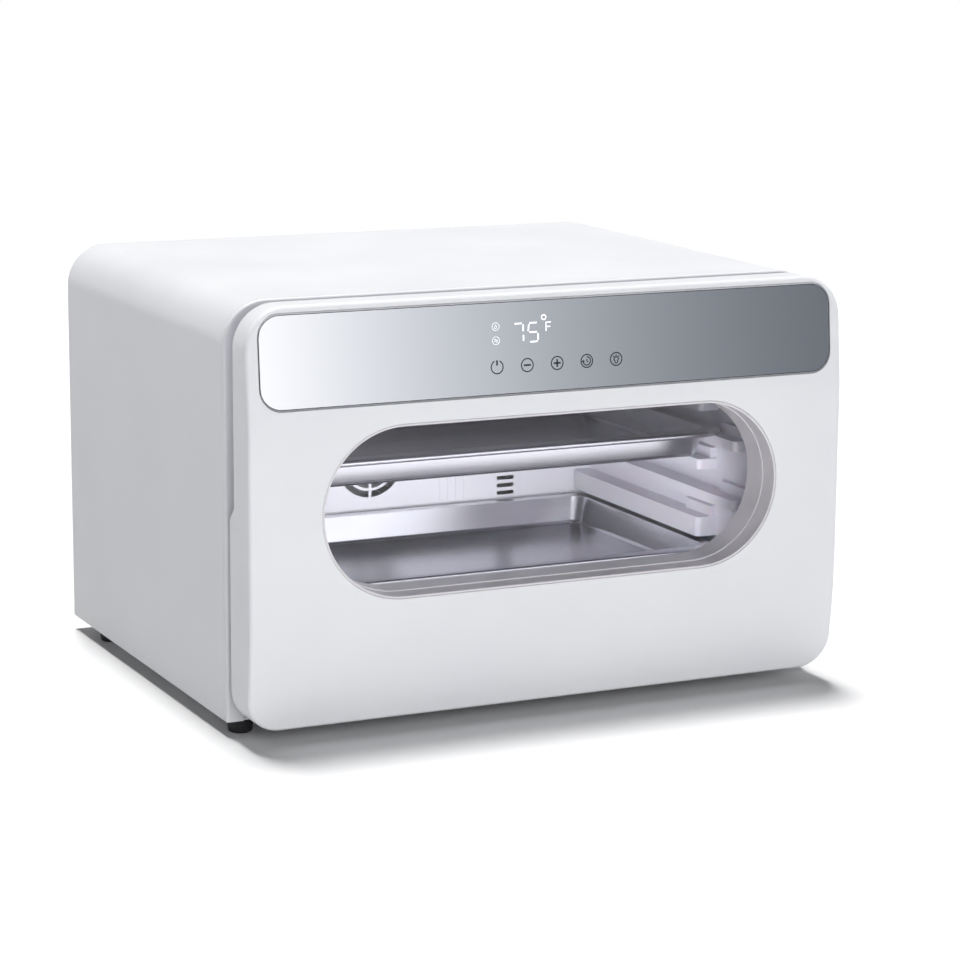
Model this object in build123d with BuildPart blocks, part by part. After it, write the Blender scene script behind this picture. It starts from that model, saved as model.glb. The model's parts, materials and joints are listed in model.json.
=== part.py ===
"""Countertop dough proofer: a heated cabinet with a drop-down windowed door.

Millimetres. X runs across the front, Y runs from front to back, Z is up.
The origin is on the counter, under the middle of the whole object.
"""
from build123d import *
import os
from math import cos, radians, sin, tan

os.makedirs("parts", exist_ok=True)

# ---------------------------------------------------------------- driving dimensions
WIDTH = 530.0                 # cabinet, side to side
FOOT_HEIGHT = 12.5            # counter to the underside of the cabinet
CABINET_HEIGHT = 335.0        # without the feet
CABINET_FRONT = -170.0        # front edge of the outer shell
CABINET_REAR = 219.0          # rear edge of the outer shell
SHELL_SHEET = 1.2             # painted steel
SHELL_CORNER = 35.0           # top corners, outside
SHELL_ROLL = 2.2              # rolled front edge, outside radius
SEAM_BACK = 5.0               # a fine seam runs round the shell this far behind its front edge
SEAM_WIDTH = 0.6
SEAM_DEPTH = 0.35
SHELL_FLANGE = 14.0           # front flange, turned inward
SHELL_FOOT_FLANGE = 32.0      # bottom flange, turned inward to carry the feet

DOOR_FACE = -219.0            # the flat middle of the door's face
DOOR_REAR = -177.5            # rear edge of the door's rim below the finger grip
GRIP_REAR = -187.0            # rear edge of the rim along the finger grip
GRIP_STEP_LOW = 178.0         # the rim steps forward between these two heights
GRIP_STEP_HIGH = 188.0
DOOR_WIDTH = 528.0
DOOR_BOTTOM = 12.8
DOOR_TOP = 347.5
DOOR_TOP_CORNER = 34.0
DOOR_BOTTOM_CORNER = 28.0
DOOR_WALL = 2.5
DOOR_EDGE_ROUND = 3.2
CROWN_START = 111.0           # below this height the face curves back
CROWN_RADIUS = 540.0
LEAN_START = 257.0            # above this height the face leans back
LEAN_BLEND = 5.0              # the bend is rounded over this length on both sides
LEAN = radians(5.0)
TRIM = 4.0                    # the door's section reaches past the outline that trims it

PANEL_SINK = 0.3              # the control panel lies this far below the leaning face
PANEL_WIDTH = 507.0
PANEL_HEIGHT = 75.0
PANEL_CENTRE = 304.5          # height of the panel's middle
PANEL_CORNER = 18.0
PANEL_THICK = 2.6
PANEL_GAP = 0.6
ICON_RISE = -15.0             # the row of touch fields, from the panel's middle
ICON_PITCH = 26.5
DISPLAY_X = -32.0
DISPLAY_RISE = 12.0

WINDOW_LENGTH = 407.0         # clear opening in the door's face
WINDOW_HEIGHT = 140.0
WINDOW_CENTRE = 181.0
DISH_WALL = 2.0
DISH_STEP = -201.5            # the window dish narrows here by a small step
PLUG_FACE = -175.5            # rear face of the door's inner panel, against the gasket
PLUG_WIDTH = 492.0
PLUG_BOTTOM = 48.0
PLUG_TOP = 326.0
PLUG_CORNER = 22.0
PLUG_SKIN = 2.0

HINGE_Y = -201.0
HINGE_Z = 27.0
HINGE_X = 235.0               # middle of each hinge arm
PIN_RADIUS = 3.0
ARM_THICK = 3.0
ARM_HALF = 4.5                # half the height of the hinge arm
EYE_RADIUS = 6.0

CHAMBER_WIDTH = 460.0
CHAMBER_FLOOR = 75.0
CHAMBER_TOP = 300.0
CHAMBER_CORNER = 12.0
LINER_SHEET = 1.0
FRAME_THICK = 2.5
BAFFLE_FRONT = 160.0          # rear wall of the chamber
BAFFLE_SHEET = 1.2
PLENUM_REAR = 190.0
FAN_Z = 142.5                 # height of the fan axis
REAR_PANEL_FACE = 216.5
REAR_SHEET = 1.0
REAR_RIM = 9.0                # turned-in edge of the rear panel

LEDGE_COUNT = 6
LEDGE_LOWEST = 120.2
LEDGE_PITCH = 25.83
LEDGE_INNER = 208.0           # from the middle of the cabinet to the inner edge of a ledge
LEDGE_THICK = 9.0
GUIDE_WALL = 3.0
GUIDE_FRONT = -140.0
SHORT_LEDGE_FRONT = -80.0     # every other ledge, from the lowest, starts further back
GUIDE_REAR = 158.5
GUIDE_BOTTOM = 103.0
GUIDE_TOP = 262.0
STOP_INNER = 221.0            # the side stops stand outside the pan's rim
STOP_LENGTH = 42.0
STOP_HEIGHT = 9.0
PAN_LEDGE = 3                 # the upper pan hangs on this ledge, counted from zero

PAN_LENGTH = 438.0            # over the rolled rim, across the cabinet
PAN_DEPTH = 262.0
PAN_HEIGHT = 25.0
PAN_CORNER = 24.0
PAN_SHEET = 1.0
PAN_BEAD = 5.2                # the rim is rolled to a round bead of this diameter
PAN_FLANGE = 10.0             # flat flange between the wall and the middle of the bead
PAN_DRAFT = 6.0               # each wall leans out by this much
PAN_FRONT = -115.0
PAN_CLEARANCE = 0.3

FOOT_X = 248.0
FOOT_FRONT_Y = CABINET_FRONT + 16.0
FOOT_REAR_Y = CABINET_FRONT + 335.0
FOOT_SPOTS = [(x, y) for x in (-FOOT_X, FOOT_X) for y in (FOOT_FRONT_Y, FOOT_REAR_Y)]

# ---------------------------------------------------------------- worked out from them
CABINET_BOTTOM = FOOT_HEIGHT
CABINET_TOP = FOOT_HEIGHT + CABINET_HEIGHT
BASE_Z = CABINET_BOTTOM + SHELL_SHEET
BASE_TOP = BASE_Z + SHELL_SHEET
FRAME_FRONT = CABINET_FRONT + SHELL_SHEET
FRAME_REAR = FRAME_FRONT + FRAME_THICK
BOARD_DEPTH = PANEL_THICK + 8.0
COVER_THICK = 2.5
PAN_Y = PAN_FRONT + PAN_DEPTH / 2
LOWER_PAN_Z = CHAMBER_FLOOR + PAN_CLEARANCE
LEDGE_TOPS = [LEDGE_LOWEST + level * LEDGE_PITCH for level in range(LEDGE_COUNT)]
UPPER_PAN_Z = LEDGE_TOPS[PAN_LEDGE] + PAN_CLEARANCE + PAN_BEAD - PAN_HEIGHT


def facing(y):
    """A sketch plane across the object at depth y: X to the right, Z up; extrude goes forward."""
    return Plane(origin=(0, y, 0), x_dir=(1, 0, 0), z_dir=(0, -1, 0))


def side_on(x):
    """A sketch plane along the object at x: Y to the right, Z up; extrude goes to +X."""
    return Plane(origin=(x, 0, 0), x_dir=(0, 1, 0), z_dir=(1, 0, 0))


def lean_y(z):
    """Depth of the leaning upper face at a height."""
    return DOOR_FACE + (z - LEAN_START) * tan(LEAN)


def panel_plane(depth):
    """A sketch plane parallel to the control panel, the given depth behind the panel's face.

    Its origin is behind the middle of the panel, X runs to the right and Y up along the panel.
    """
    y = lean_y(PANEL_CENTRE) + PANEL_SINK + depth * cos(LEAN)
    z = PANEL_CENTRE - depth * sin(LEAN)
    return Plane(origin=(0, y, z), x_dir=(1, 0, 0), z_dir=(0, -cos(LEAN), sin(LEAN)))


def block(x0, x1, y0, y1, z0, z1, mode=Mode.ADD):
    """A box between two corners, in the piece that is being built."""
    with Locations(((x0 + x1) / 2, (y0 + y1) / 2, (z0 + z1) / 2)):
        Box(x1 - x0, y1 - y0, z1 - z0, mode=mode)


def post(x, y0, y1, z, radius, mode=Mode.ADD):
    """A round post along Y, from y0 to y1."""
    with Locations(Location((x, (y0 + y1) / 2, z), (90, 0, 0))):
        Cylinder(radius, y1 - y0, mode=mode)


def axle(x0, x1, y, z, radius, mode=Mode.ADD):
    """A round bar along X, from x0 to x1."""
    with Locations(Location(((x0 + x1) / 2, y, z), (0, 90, 0))):
        Cylinder(radius, x1 - x0, mode=mode)


def arch_outline(width, bottom, top, corner):
    """Square bottom corners and rounded top corners, in the sketch that is being drawn."""
    with Locations((0, (bottom + top) / 2)):
        Rectangle(width, top - bottom)
    fillet(vertices().group_by(Axis.Y)[-1], corner)


def door_outline(inset):
    """The door seen from the front, smaller by the inset all round."""
    with Locations((0, (DOOR_BOTTOM + DOOR_TOP) / 2)):
        Rectangle(DOOR_WIDTH - 2 * inset, DOOR_TOP - DOOR_BOTTOM - 2 * inset)
    fillet(vertices().group_by(Axis.Y)[-1], DOOR_TOP_CORNER - inset)
    fillet(vertices().group_by(Axis.Y)[0], DOOR_BOTTOM_CORNER - inset)


def rounded_opening(width, bottom, top, corner, mode=Mode.ADD):
    """A rectangle with four rounded corners, centred across the object."""
    with Locations((0, (bottom + top) / 2)):
        RectangleRounded(width, top - bottom, corner, mode=mode)


def stadium(grow, mode=Mode.ADD):
    """The window's outline, larger by grow all round."""
    with Locations((0, WINDOW_CENTRE)):
        SlotOverall(WINDOW_LENGTH + 2 * grow, WINDOW_HEIGHT + 2 * grow, mode=mode)


# ================================================================ cabinet: sheet metal
# The hollow inside the wrap-over shell, one sheet smaller all round.
with BuildPart() as shell_inside:
    with BuildSketch(facing(FRAME_FRONT)):
        arch_outline(
            WIDTH - 2 * SHELL_SHEET, BASE_Z, CABINET_TOP - SHELL_SHEET, SHELL_CORNER - SHELL_SHEET
        )
    extrude(amount=CABINET_FRONT - CABINET_REAR)
    front_rim = shell_inside.faces().sort_by(Axis.Y)[0].edges()
    fillet(front_rim.filter_by(lambda e: e.center().Z > BASE_Z + 1), SHELL_ROLL - SHELL_SHEET)

# What is left inside the fine seam that runs round the shell.
with BuildSketch() as seam_core:
    arch_outline(WIDTH - 2 * SEAM_DEPTH, -TRIM, CABINET_TOP - SEAM_DEPTH, SHELL_CORNER - SEAM_DEPTH)

# The shell itself: sides and top in one sheet, with a rolled front edge and a flange for the feet.
with BuildPart() as outer_shell:
    with BuildSketch(facing(CABINET_FRONT)):
        arch_outline(WIDTH, CABINET_BOTTOM, CABINET_TOP, SHELL_CORNER)
    extrude(amount=CABINET_FRONT - CABINET_REAR)
    front_rim = outer_shell.faces().sort_by(Axis.Y)[0].edges()
    fillet(front_rim.filter_by(lambda e: e.center().Z > CABINET_BOTTOM + 1), SHELL_ROLL)
    add(shell_inside.part, mode=Mode.SUBTRACT)
    with BuildSketch(facing(CABINET_FRONT + SEAM_BACK + SEAM_WIDTH)):
        Rectangle(2 * WIDTH, 2 * CABINET_TOP + 2)
        add(seam_core.sketch, mode=Mode.SUBTRACT)
    extrude(amount=SEAM_WIDTH, mode=Mode.SUBTRACT)
    with BuildSketch(facing(CABINET_FRONT - 1)):
        arch_outline(
            WIDTH - 2 * SHELL_FLANGE,
            CABINET_BOTTOM - 1,
            CABINET_TOP - SHELL_FLANGE,
            SHELL_CORNER - SHELL_FLANGE + 4,
        )
    extrude(amount=-SHELL_SHEET - 2, mode=Mode.SUBTRACT)
    open_half = WIDTH / 2 - SHELL_FOOT_FLANGE
    block(-open_half, open_half, CABINET_FRONT - 1, CABINET_REAR + 1, 0, BASE_TOP, Mode.SUBTRACT)
    with Locations([(x, y, BASE_Z) for x, y in FOOT_SPOTS]):
        Cylinder(2.4, 10, mode=Mode.SUBTRACT)
outer_shell.part.label = "outer_shell"
export_step(outer_shell.part, "parts/outer_shell.step")

# The bottom pan: a tray with turned-up edges, foot holes and rows of vent slots.
BASE_HALF = WIDTH / 2 - SHELL_SHEET - 0.6
BASE_FRONT = FRAME_REAR + 0.3
BASE_REAR = REAR_PANEL_FACE - REAR_RIM - 0.3
BASE_EDGE = 8.0
with BuildPart() as base_pan:
    block(-BASE_HALF, BASE_HALF, BASE_FRONT, BASE_REAR, BASE_Z, BASE_Z + BASE_EDGE)
    fillet(base_pan.edges().filter_by(Axis.Z), 3)
    block(
        -BASE_HALF + SHELL_SHEET,
        BASE_HALF - SHELL_SHEET,
        BASE_FRONT + SHELL_SHEET,
        BASE_REAR - SHELL_SHEET,
        BASE_TOP,
        BASE_Z + BASE_EDGE + 1,
        Mode.SUBTRACT,
    )
    with BuildSketch(Plane.XY.offset(BASE_Z)):
        with Locations((-120, 110), (0, -60)):
            with GridLocations(14, 1, 7, 1):
                SlotOverall(50, 5, rotation=90)
    extrude(amount=SHELL_SHEET, mode=Mode.SUBTRACT)
    with Locations([(x, y, BASE_Z) for x, y in FOOT_SPOTS]):
        Cylinder(2.4, 10, mode=Mode.SUBTRACT)
base_pan.part.label = "base_pan"
export_step(base_pan.part, "parts/base_pan.step")

# The rear panel: a sheet with turned-in edges, motor louvres and the mains inlet's cut-out.
INLET_X = -205.0
INLET_Z = 52.0
INLET_WIDTH = 28.0
INLET_HEIGHT = 21.0
REAR_SCREWS = [(x, z) for x in (-240, -100, 100, 240) for z in (40, 320)]
with BuildPart() as rear_panel:
    with BuildSketch(facing(REAR_PANEL_FACE)):
        arch_outline(
            WIDTH - 2 * SHELL_SHEET - 0.8,
            BASE_Z + 0.3,
            CABINET_TOP - SHELL_SHEET - 0.4,
            SHELL_CORNER - SHELL_SHEET - 0.4,
        )
    extrude(amount=REAR_RIM)
    with BuildSketch(facing(REAR_PANEL_FACE - REAR_SHEET)):
        arch_outline(
            WIDTH - 2 * SHELL_SHEET - 2.8,
            CABINET_BOTTOM - 3,
            CABINET_TOP - SHELL_SHEET - 1.4,
            SHELL_CORNER - SHELL_SHEET - 1.4,
        )
    extrude(amount=REAR_RIM, mode=Mode.SUBTRACT)
    with BuildSketch(facing(REAR_PANEL_FACE)):
        with Locations((0, FAN_Z)):
            with GridLocations(1, 9, 1, 9):
                SlotOverall(90, 4)
        with Locations((-150, 250), (150, 250)):
            with GridLocations(1, 9, 1, 6):
                SlotOverall(110, 4)
        with Locations((INLET_X, INLET_Z)):
            RectangleRounded(INLET_WIDTH + 0.6, INLET_HEIGHT + 0.6, 3)
    extrude(amount=REAR_SHEET, mode=Mode.SUBTRACT)
    for x, z in REAR_SCREWS:
        post(x, REAR_PANEL_FACE - 3, REAR_PANEL_FACE + 1, z, 1.7, Mode.SUBTRACT)
rear_panel.part.label = "rear_panel"
export_step(rear_panel.part, "parts/rear_panel.step")

with BuildPart() as rear_screws:
    for x, z in REAR_SCREWS:
        post(x, REAR_PANEL_FACE, REAR_PANEL_FACE + 1.8, z, 3.2)
        post(x, REAR_PANEL_FACE - 8, REAR_PANEL_FACE + 0.5, z, 1.6)
rear_screws.part.label = "rear_screws"
export_step(rear_screws.part, "parts/rear_screws.step")

# ================================================================ cabinet: chamber
# The moulded front frame closes the space between shell and chamber and carries the gasket.
FRAME_INSET = SHELL_ROLL + 0.3
PLATE_HALF = 13.0
PLATE_BOTTOM = HINGE_Z - 8.0
PLATE_TOP = HINGE_Z + 15.0
PLATE_THICK = 2.0
HINGE_SCREWS = [
    (side * HINGE_X + dx, z)
    for side in (-1, 1)
    for dx in (-8.0, 8.0)
    for z in (PLATE_BOTTOM + 5, PLATE_TOP - 5)
]
MAGNET_X = 140.0
MAGNET_Z = 318.5
with BuildPart() as front_frame:
    with BuildSketch(facing(FRAME_REAR)):
        arch_outline(
            WIDTH - 2 * FRAME_INSET, BASE_Z + 0.3, CABINET_TOP - FRAME_INSET, SHELL_CORNER - FRAME_INSET
        )
    extrude(amount=FRAME_THICK)
    with BuildSketch(facing(FRAME_REAR)):
        rounded_opening(CHAMBER_WIDTH, CHAMBER_FLOOR, CHAMBER_TOP, CHAMBER_CORNER)
    extrude(amount=FRAME_THICK, mode=Mode.SUBTRACT)
    for x, z in HINGE_SCREWS:
        post(x, FRAME_FRONT - 1, FRAME_REAR + 1, z, 1.7, Mode.SUBTRACT)
front_frame.part.label = "front_frame"
export_step(front_frame.part, "parts/front_frame.step")

# The chamber liner: floor, sides and ceiling folded from one sheet, with a hole for the lamp.
LAMP_Y = -60.0
LAMP_LENGTH = 110.0
LAMP_WIDTH = 24.0
GUIDE_SCREWS = [(y, z) for y in (GUIDE_FRONT + 30, GUIDE_REAR - 30) for z in (133, 210.6)]
with BuildPart() as chamber_liner:
    with BuildSketch(facing(PLENUM_REAR)):
        rounded_opening(
            CHAMBER_WIDTH + 2 * LINER_SHEET,
            CHAMBER_FLOOR - LINER_SHEET,
            CHAMBER_TOP + LINER_SHEET,
            CHAMBER_CORNER + LINER_SHEET,
        )
        rounded_opening(CHAMBER_WIDTH, CHAMBER_FLOOR, CHAMBER_TOP, CHAMBER_CORNER, Mode.SUBTRACT)
    extrude(amount=PLENUM_REAR - FRAME_REAR)
    block(
        -LAMP_LENGTH / 2 - 0.3,
        LAMP_LENGTH / 2 + 0.3,
        LAMP_Y - LAMP_WIDTH / 2 - 0.3,
        LAMP_Y + LAMP_WIDTH / 2 + 0.3,
        CHAMBER_TOP - 2,
        CHAMBER_TOP + 3,
        Mode.SUBTRACT,
    )
    for y, z in GUIDE_SCREWS:
        axle(-CHAMBER_WIDTH / 2 - 3, CHAMBER_WIDTH / 2 + 3, y, z, 1.7, Mode.SUBTRACT)
chamber_liner.part.label = "chamber_liner"
export_step(chamber_liner.part, "parts/chamber_liner.step")

# The door gasket: a foot on the frame and a soft rounded lip towards the door.
with BuildPart() as door_gasket:
    with BuildSketch(facing(FRAME_FRONT)):
        rounded_opening(CHAMBER_WIDTH + 22, CHAMBER_FLOOR - 11, CHAMBER_TOP + 11, CHAMBER_CORNER + 11)
        rounded_opening(
            CHAMBER_WIDTH + 4, CHAMBER_FLOOR - 2, CHAMBER_TOP + 2, CHAMBER_CORNER + 2, Mode.SUBTRACT
        )
    extrude(amount=1.6)
    with BuildSketch(facing(FRAME_FRONT)):
        rounded_opening(CHAMBER_WIDTH + 18, CHAMBER_FLOOR - 9, CHAMBER_TOP + 9, CHAMBER_CORNER + 9)
        rounded_opening(
            CHAMBER_WIDTH + 8, CHAMBER_FLOOR - 4, CHAMBER_TOP + 4, CHAMBER_CORNER + 4, Mode.SUBTRACT
        )
    extrude(amount=FRAME_FRONT - PLUG_FACE - 0.5)
    fillet(door_gasket.faces().sort_by(Axis.Y)[0].edges(), 2.2)
door_gasket.part.label = "door_gasket"
export_step(door_gasket.part, "parts/door_gasket.step")

# The rear baffle: fan grille in the middle, outlet slots at both sides, shallow stiffening ribs.
GRILLE_RADIUS = 32.4
GRILLE_RINGS = ((26.4, 24.0), (16.4, 14.0))
GRILLE_HUB = 7.5
SPOKE = 2.6
SLOT_X = 138.0
SLOT_COUNT = 12
SLOT_PITCH = 7.1
BAFFLE_RIM = 10.0
BAFFLE_SCREWS = [(x, z) for x in (-200, 200) for z in (95, 280)]
with BuildPart() as rear_baffle:
    with BuildSketch(facing(BAFFLE_FRONT + BAFFLE_RIM)):
        rounded_opening(
            CHAMBER_WIDTH - 0.6, CHAMBER_FLOOR + 0.3, CHAMBER_TOP - 0.3, CHAMBER_CORNER - 0.3
        )
    extrude(amount=BAFFLE_RIM)
    with BuildSketch(facing(BAFFLE_FRONT + BAFFLE_RIM + 1)):
        rounded_opening(
            CHAMBER_WIDTH - 3, CHAMBER_FLOOR + 1.5, CHAMBER_TOP - 1.5, CHAMBER_CORNER - 1.5
        )
    extrude(amount=BAFFLE_RIM + 1 - BAFFLE_SHEET, mode=Mode.SUBTRACT)
    with BuildSketch(facing(BAFFLE_FRONT + BAFFLE_SHEET)):
        with Locations((0, FAN_Z)):
            Circle(GRILLE_RADIUS)
            for outer, inner in GRILLE_RINGS:
                Circle(outer, mode=Mode.SUBTRACT)
                Circle(inner)
            Circle(GRILLE_HUB, mode=Mode.SUBTRACT)
            Rectangle(SPOKE, 2 * GRILLE_RADIUS, mode=Mode.SUBTRACT)
            Rectangle(2 * GRILLE_RADIUS, SPOKE, mode=Mode.SUBTRACT)
        with Locations((-SLOT_X, FAN_Z), (SLOT_X, FAN_Z)):
            with GridLocations(1, SLOT_PITCH, 1, SLOT_COUNT):
                SlotOverall(18, 3.8)
    extrude(amount=BAFFLE_SHEET, mode=Mode.SUBTRACT)
    with BuildSketch(facing(BAFFLE_FRONT)):
        with Locations((-84, FAN_Z), (84, FAN_Z)):
            with GridLocations(8, 1, 4, 1):
                SlotOverall(84, 3.6, rotation=90)
    extrude(amount=0.8)
    for x, z in BAFFLE_SCREWS:
        post(x, BAFFLE_FRONT - 1, BAFFLE_FRONT + 3, z, 1.7, Mode.SUBTRACT)
    post(70, BAFFLE_FRONT - 1, BAFFLE_FRONT + 3, 272, 2.7, Mode.SUBTRACT)
rear_baffle.part.label = "rear_baffle"
export_step(rear_baffle.part, "parts/rear_baffle.step")

with BuildPart() as baffle_screws:
    for x, z in BAFFLE_SCREWS:
        post(x, BAFFLE_FRONT - 1.6, BAFFLE_FRONT, z, 3.2)
        post(x, BAFFLE_FRONT - 0.5, BAFFLE_FRONT + 9, z, 1.6)
baffle_screws.part.label = "baffle_screws"
export_step(baffle_screws.part, "parts/baffle_screws.step")


# The rack guide: a wall with six ledges, long and short in turn, and a stop beside each pan's rim.
GUIDE_WALL_OUT = CHAMBER_WIDTH / 2 - 0.2
GUIDE_WALL_IN = CHAMBER_WIDTH / 2 - GUIDE_WALL
with BuildPart() as rack_guide_right:
    block(GUIDE_WALL_IN, GUIDE_WALL_OUT, GUIDE_FRONT, GUIDE_REAR, GUIDE_BOTTOM, GUIDE_TOP)
    fillet(rack_guide_right.edges().filter_by(Axis.X), 8)
    for level, top in enumerate(LEDGE_TOPS):
        bottom = GUIDE_BOTTOM if level == 0 else top - LEDGE_THICK
        ledge_front = GUIDE_FRONT if level % 2 else SHORT_LEDGE_FRONT
        with BuildSketch(Plane.XY.offset(bottom)):
            with Locations(((LEDGE_INNER + GUIDE_WALL_IN) / 2, (ledge_front + GUIDE_REAR) / 2)):
                Rectangle(GUIDE_WALL_IN - LEDGE_INNER, GUIDE_REAR - ledge_front)
            fillet(vertices().group_by(Axis.X)[0], 5)
        extrude(amount=top - bottom)
        stop_front = ledge_front + 2
        stop_rear = stop_front + STOP_LENGTH
        block(STOP_INNER, GUIDE_WALL_IN + 0.5, stop_front, stop_rear, top - 1, top + STOP_HEIGHT)
    for y, z in GUIDE_SCREWS:
        axle(GUIDE_WALL_IN - 1, GUIDE_WALL_OUT + 1, y, z, 1.7, Mode.SUBTRACT)
rack_guide_right.part.label = "rack_guide_right"
export_step(rack_guide_right.part, "parts/rack_guide_right.step")

with BuildPart() as rack_guide_left:
    add(rack_guide_right.part.mirror(Plane.YZ))
rack_guide_left.part.label = "rack_guide_left"
export_step(rack_guide_left.part, "parts/rack_guide_left.step")

with BuildPart() as guide_screws:
    for side in (-1, 1):
        head = sorted((side * (CHAMBER_WIDTH / 2 - GUIDE_WALL), side * (CHAMBER_WIDTH / 2 - 5.0)))
        shank = sorted((side * (CHAMBER_WIDTH / 2 - 4.0), side * (CHAMBER_WIDTH / 2 + 6.0)))
        for y, z in GUIDE_SCREWS:
            axle(head[0], head[1], y, z, 3.4)
            axle(shank[0], shank[1], y, z, 1.6)
guide_screws.part.label = "guide_screws"
export_step(guide_screws.part, "parts/guide_screws.step")

# The lamp in the ceiling: a frosted lens pushed up through the liner, and its strip board above.
LENS_TOP = CHAMBER_TOP + 6.0
with BuildPart() as lamp_lens:
    with Locations((0, LAMP_Y, CHAMBER_TOP - 0.8)):
        Box(LAMP_LENGTH + 8, LAMP_WIDTH + 8, 1.6)
    fillet(lamp_lens.edges().filter_by(Axis.Z), 5)
    with Locations((0, LAMP_Y, (CHAMBER_TOP + LENS_TOP) / 2)):
        Box(LAMP_LENGTH, LAMP_WIDTH, LENS_TOP - CHAMBER_TOP)
    with Locations((0, LAMP_Y, (CHAMBER_TOP + LENS_TOP) / 2 + 0.4)):
        Box(LAMP_LENGTH - 4, LAMP_WIDTH - 4, LENS_TOP - CHAMBER_TOP - 0.8 + 0.001, mode=Mode.SUBTRACT)
lamp_lens.part.label = "lamp_lens"
export_step(lamp_lens.part, "parts/lamp_lens.step")

with BuildPart() as lamp_board:
    with Locations((0, LAMP_Y, LENS_TOP + 0.8)):
        Box(LAMP_LENGTH + 6, LAMP_WIDTH, 1.6)
    with Locations((0, LAMP_Y, LENS_TOP - 0.6)):
        with GridLocations(16, 1, 6, 1):
            Box(3.5, 3.5, 1.2)
lamp_board.part.label = "lamp_board"
export_step(lamp_board.part, "parts/lamp_board.step")

# ================================================================ cabinet: air and heat
SHAFT_RADIUS = 2.5
MOTOR_SCREWS = [(dx, dz) for dx in (-28, 28) for dz in (-28, 28)]
HEATER_RADIUS = 62.0
HEATER_TUBE = 3.25
HEATER_Y = 176.0
HEATER_END = 20.0
HEATER_LEGS = [
    (side * HEATER_RADIUS * sin(radians(HEATER_END)), HEATER_RADIUS * cos(radians(HEATER_END)))
    for side in (-1, 1)
]
CUTOUT_X = -70.0
CUTOUT_Z = 215.0
PLENUM_SHEET = 1.2
with BuildPart() as plenum_back:
    with BuildSketch(facing(PLENUM_REAR + PLENUM_SHEET)):
        rounded_opening(
            CHAMBER_WIDTH + 14, CHAMBER_FLOOR - 7, CHAMBER_TOP + 7, CHAMBER_CORNER + 7
        )
        with Locations((0, FAN_Z)):
            Circle(9, mode=Mode.SUBTRACT)
            with Locations(MOTOR_SCREWS):
                Circle(1.7, mode=Mode.SUBTRACT)
            with Locations(HEATER_LEGS):
                Circle(HEATER_TUBE + 0.4, mode=Mode.SUBTRACT)
    extrude(amount=PLENUM_SHEET)
plenum_back.part.label = "plenum_back"
export_step(plenum_back.part, "parts/plenum_back.step")

# The fan motor: mounting plate, round can, front bearing and rear cap.
MOTOR_FRONT = PLENUM_REAR + PLENUM_SHEET
with BuildPart() as fan_motor:
    with BuildSketch(facing(MOTOR_FRONT + 1.6)):
        with Locations((0, FAN_Z)):
            RectangleRounded(68, 68, 8)
            with Locations(MOTOR_SCREWS):
                Circle(1.7, mode=Mode.SUBTRACT)
    extrude(amount=1.6)
    post(0, MOTOR_FRONT, MOTOR_FRONT + 17, FAN_Z, 29)
    fillet(fan_motor.faces().sort_by(Axis.Y)[-1].edges(), 3)
    post(0, MOTOR_FRONT + 16, MOTOR_FRONT + 20, FAN_Z, 11)
    post(0, MOTOR_FRONT - 6, MOTOR_FRONT + 1, FAN_Z, 8)
    post(0, MOTOR_FRONT - 7, MOTOR_FRONT + 12, FAN_Z, SHAFT_RADIUS + 0.1, Mode.SUBTRACT)
fan_motor.part.label = "fan_motor"
export_step(fan_motor.part, "parts/fan_motor.step")

with BuildPart() as motor_screws:
    for dx, dz in MOTOR_SCREWS:
        post(dx, MOTOR_FRONT + 1.6, MOTOR_FRONT + 3.6, FAN_Z + dz, 3.0)
        post(dx, MOTOR_FRONT - 4, MOTOR_FRONT + 2, FAN_Z + dz, 1.6)
motor_screws.part.label = "motor_screws"
export_step(motor_screws.part, "parts/motor_screws.step")

# The heater: a sheathed tube bent round the fan, with both ends turned back through the wall.
FAN_AXIS = Axis((0, HEATER_Y, FAN_Z), (0, 1, 0))
with BuildPart() as heater_bend:
    with BuildSketch(side_on(0)):
        with Locations((HEATER_Y, FAN_Z + HEATER_RADIUS)):
            Circle(HEATER_TUBE)
    revolve(axis=FAN_AXIS, revolution_arc=360 - 2 * HEATER_END)

with BuildPart() as heater_ring:
    add(heater_bend.part.rotate(FAN_AXIS, HEATER_END))
    for x, dz in HEATER_LEGS:
        post(x, HEATER_Y, PLENUM_REAR + 14, FAN_Z + dz, HEATER_TUBE)
        with Locations((x, HEATER_Y, FAN_Z + dz)):
            Sphere(HEATER_TUBE)
        post(x, PLENUM_REAR + 14, PLENUM_REAR + 22, FAN_Z + dz, 1.2)
heater_ring.part.label = "heater_ring"
export_step(heater_ring.part, "parts/heater_ring.step")

# The chamber's temperature probe, pushed through the baffle, and the thermal cut-out behind it.
with BuildPart() as temperature_probe:
    post(70, BAFFLE_FRONT - 22, BAFFLE_FRONT + 14, 272, 2.5)
    fillet(temperature_probe.faces().sort_by(Axis.Y)[0].edges(), 2.2)
    post(70, BAFFLE_FRONT - 1.6, BAFFLE_FRONT, 272, 6)
temperature_probe.part.label = "temperature_probe"
export_step(temperature_probe.part, "parts/temperature_probe.step")

with BuildPart() as thermal_cutout:
    post(CUTOUT_X, MOTOR_FRONT, MOTOR_FRONT + 6, CUTOUT_Z, 8)
    block(CUTOUT_X - 12, CUTOUT_X + 12, MOTOR_FRONT, MOTOR_FRONT + 0.8, CUTOUT_Z - 5, CUTOUT_Z + 5)
    for dx in (-4, 4):
        block(
            CUTOUT_X + dx - 0.4,
            CUTOUT_X + dx + 0.4,
            MOTOR_FRONT + 5,
            MOTOR_FRONT + 13,
            CUTOUT_Z - 3,
            CUTOUT_Z + 3,
        )
thermal_cutout.part.label = "thermal_cutout"
export_step(thermal_cutout.part, "parts/thermal_cutout.step")

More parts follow.
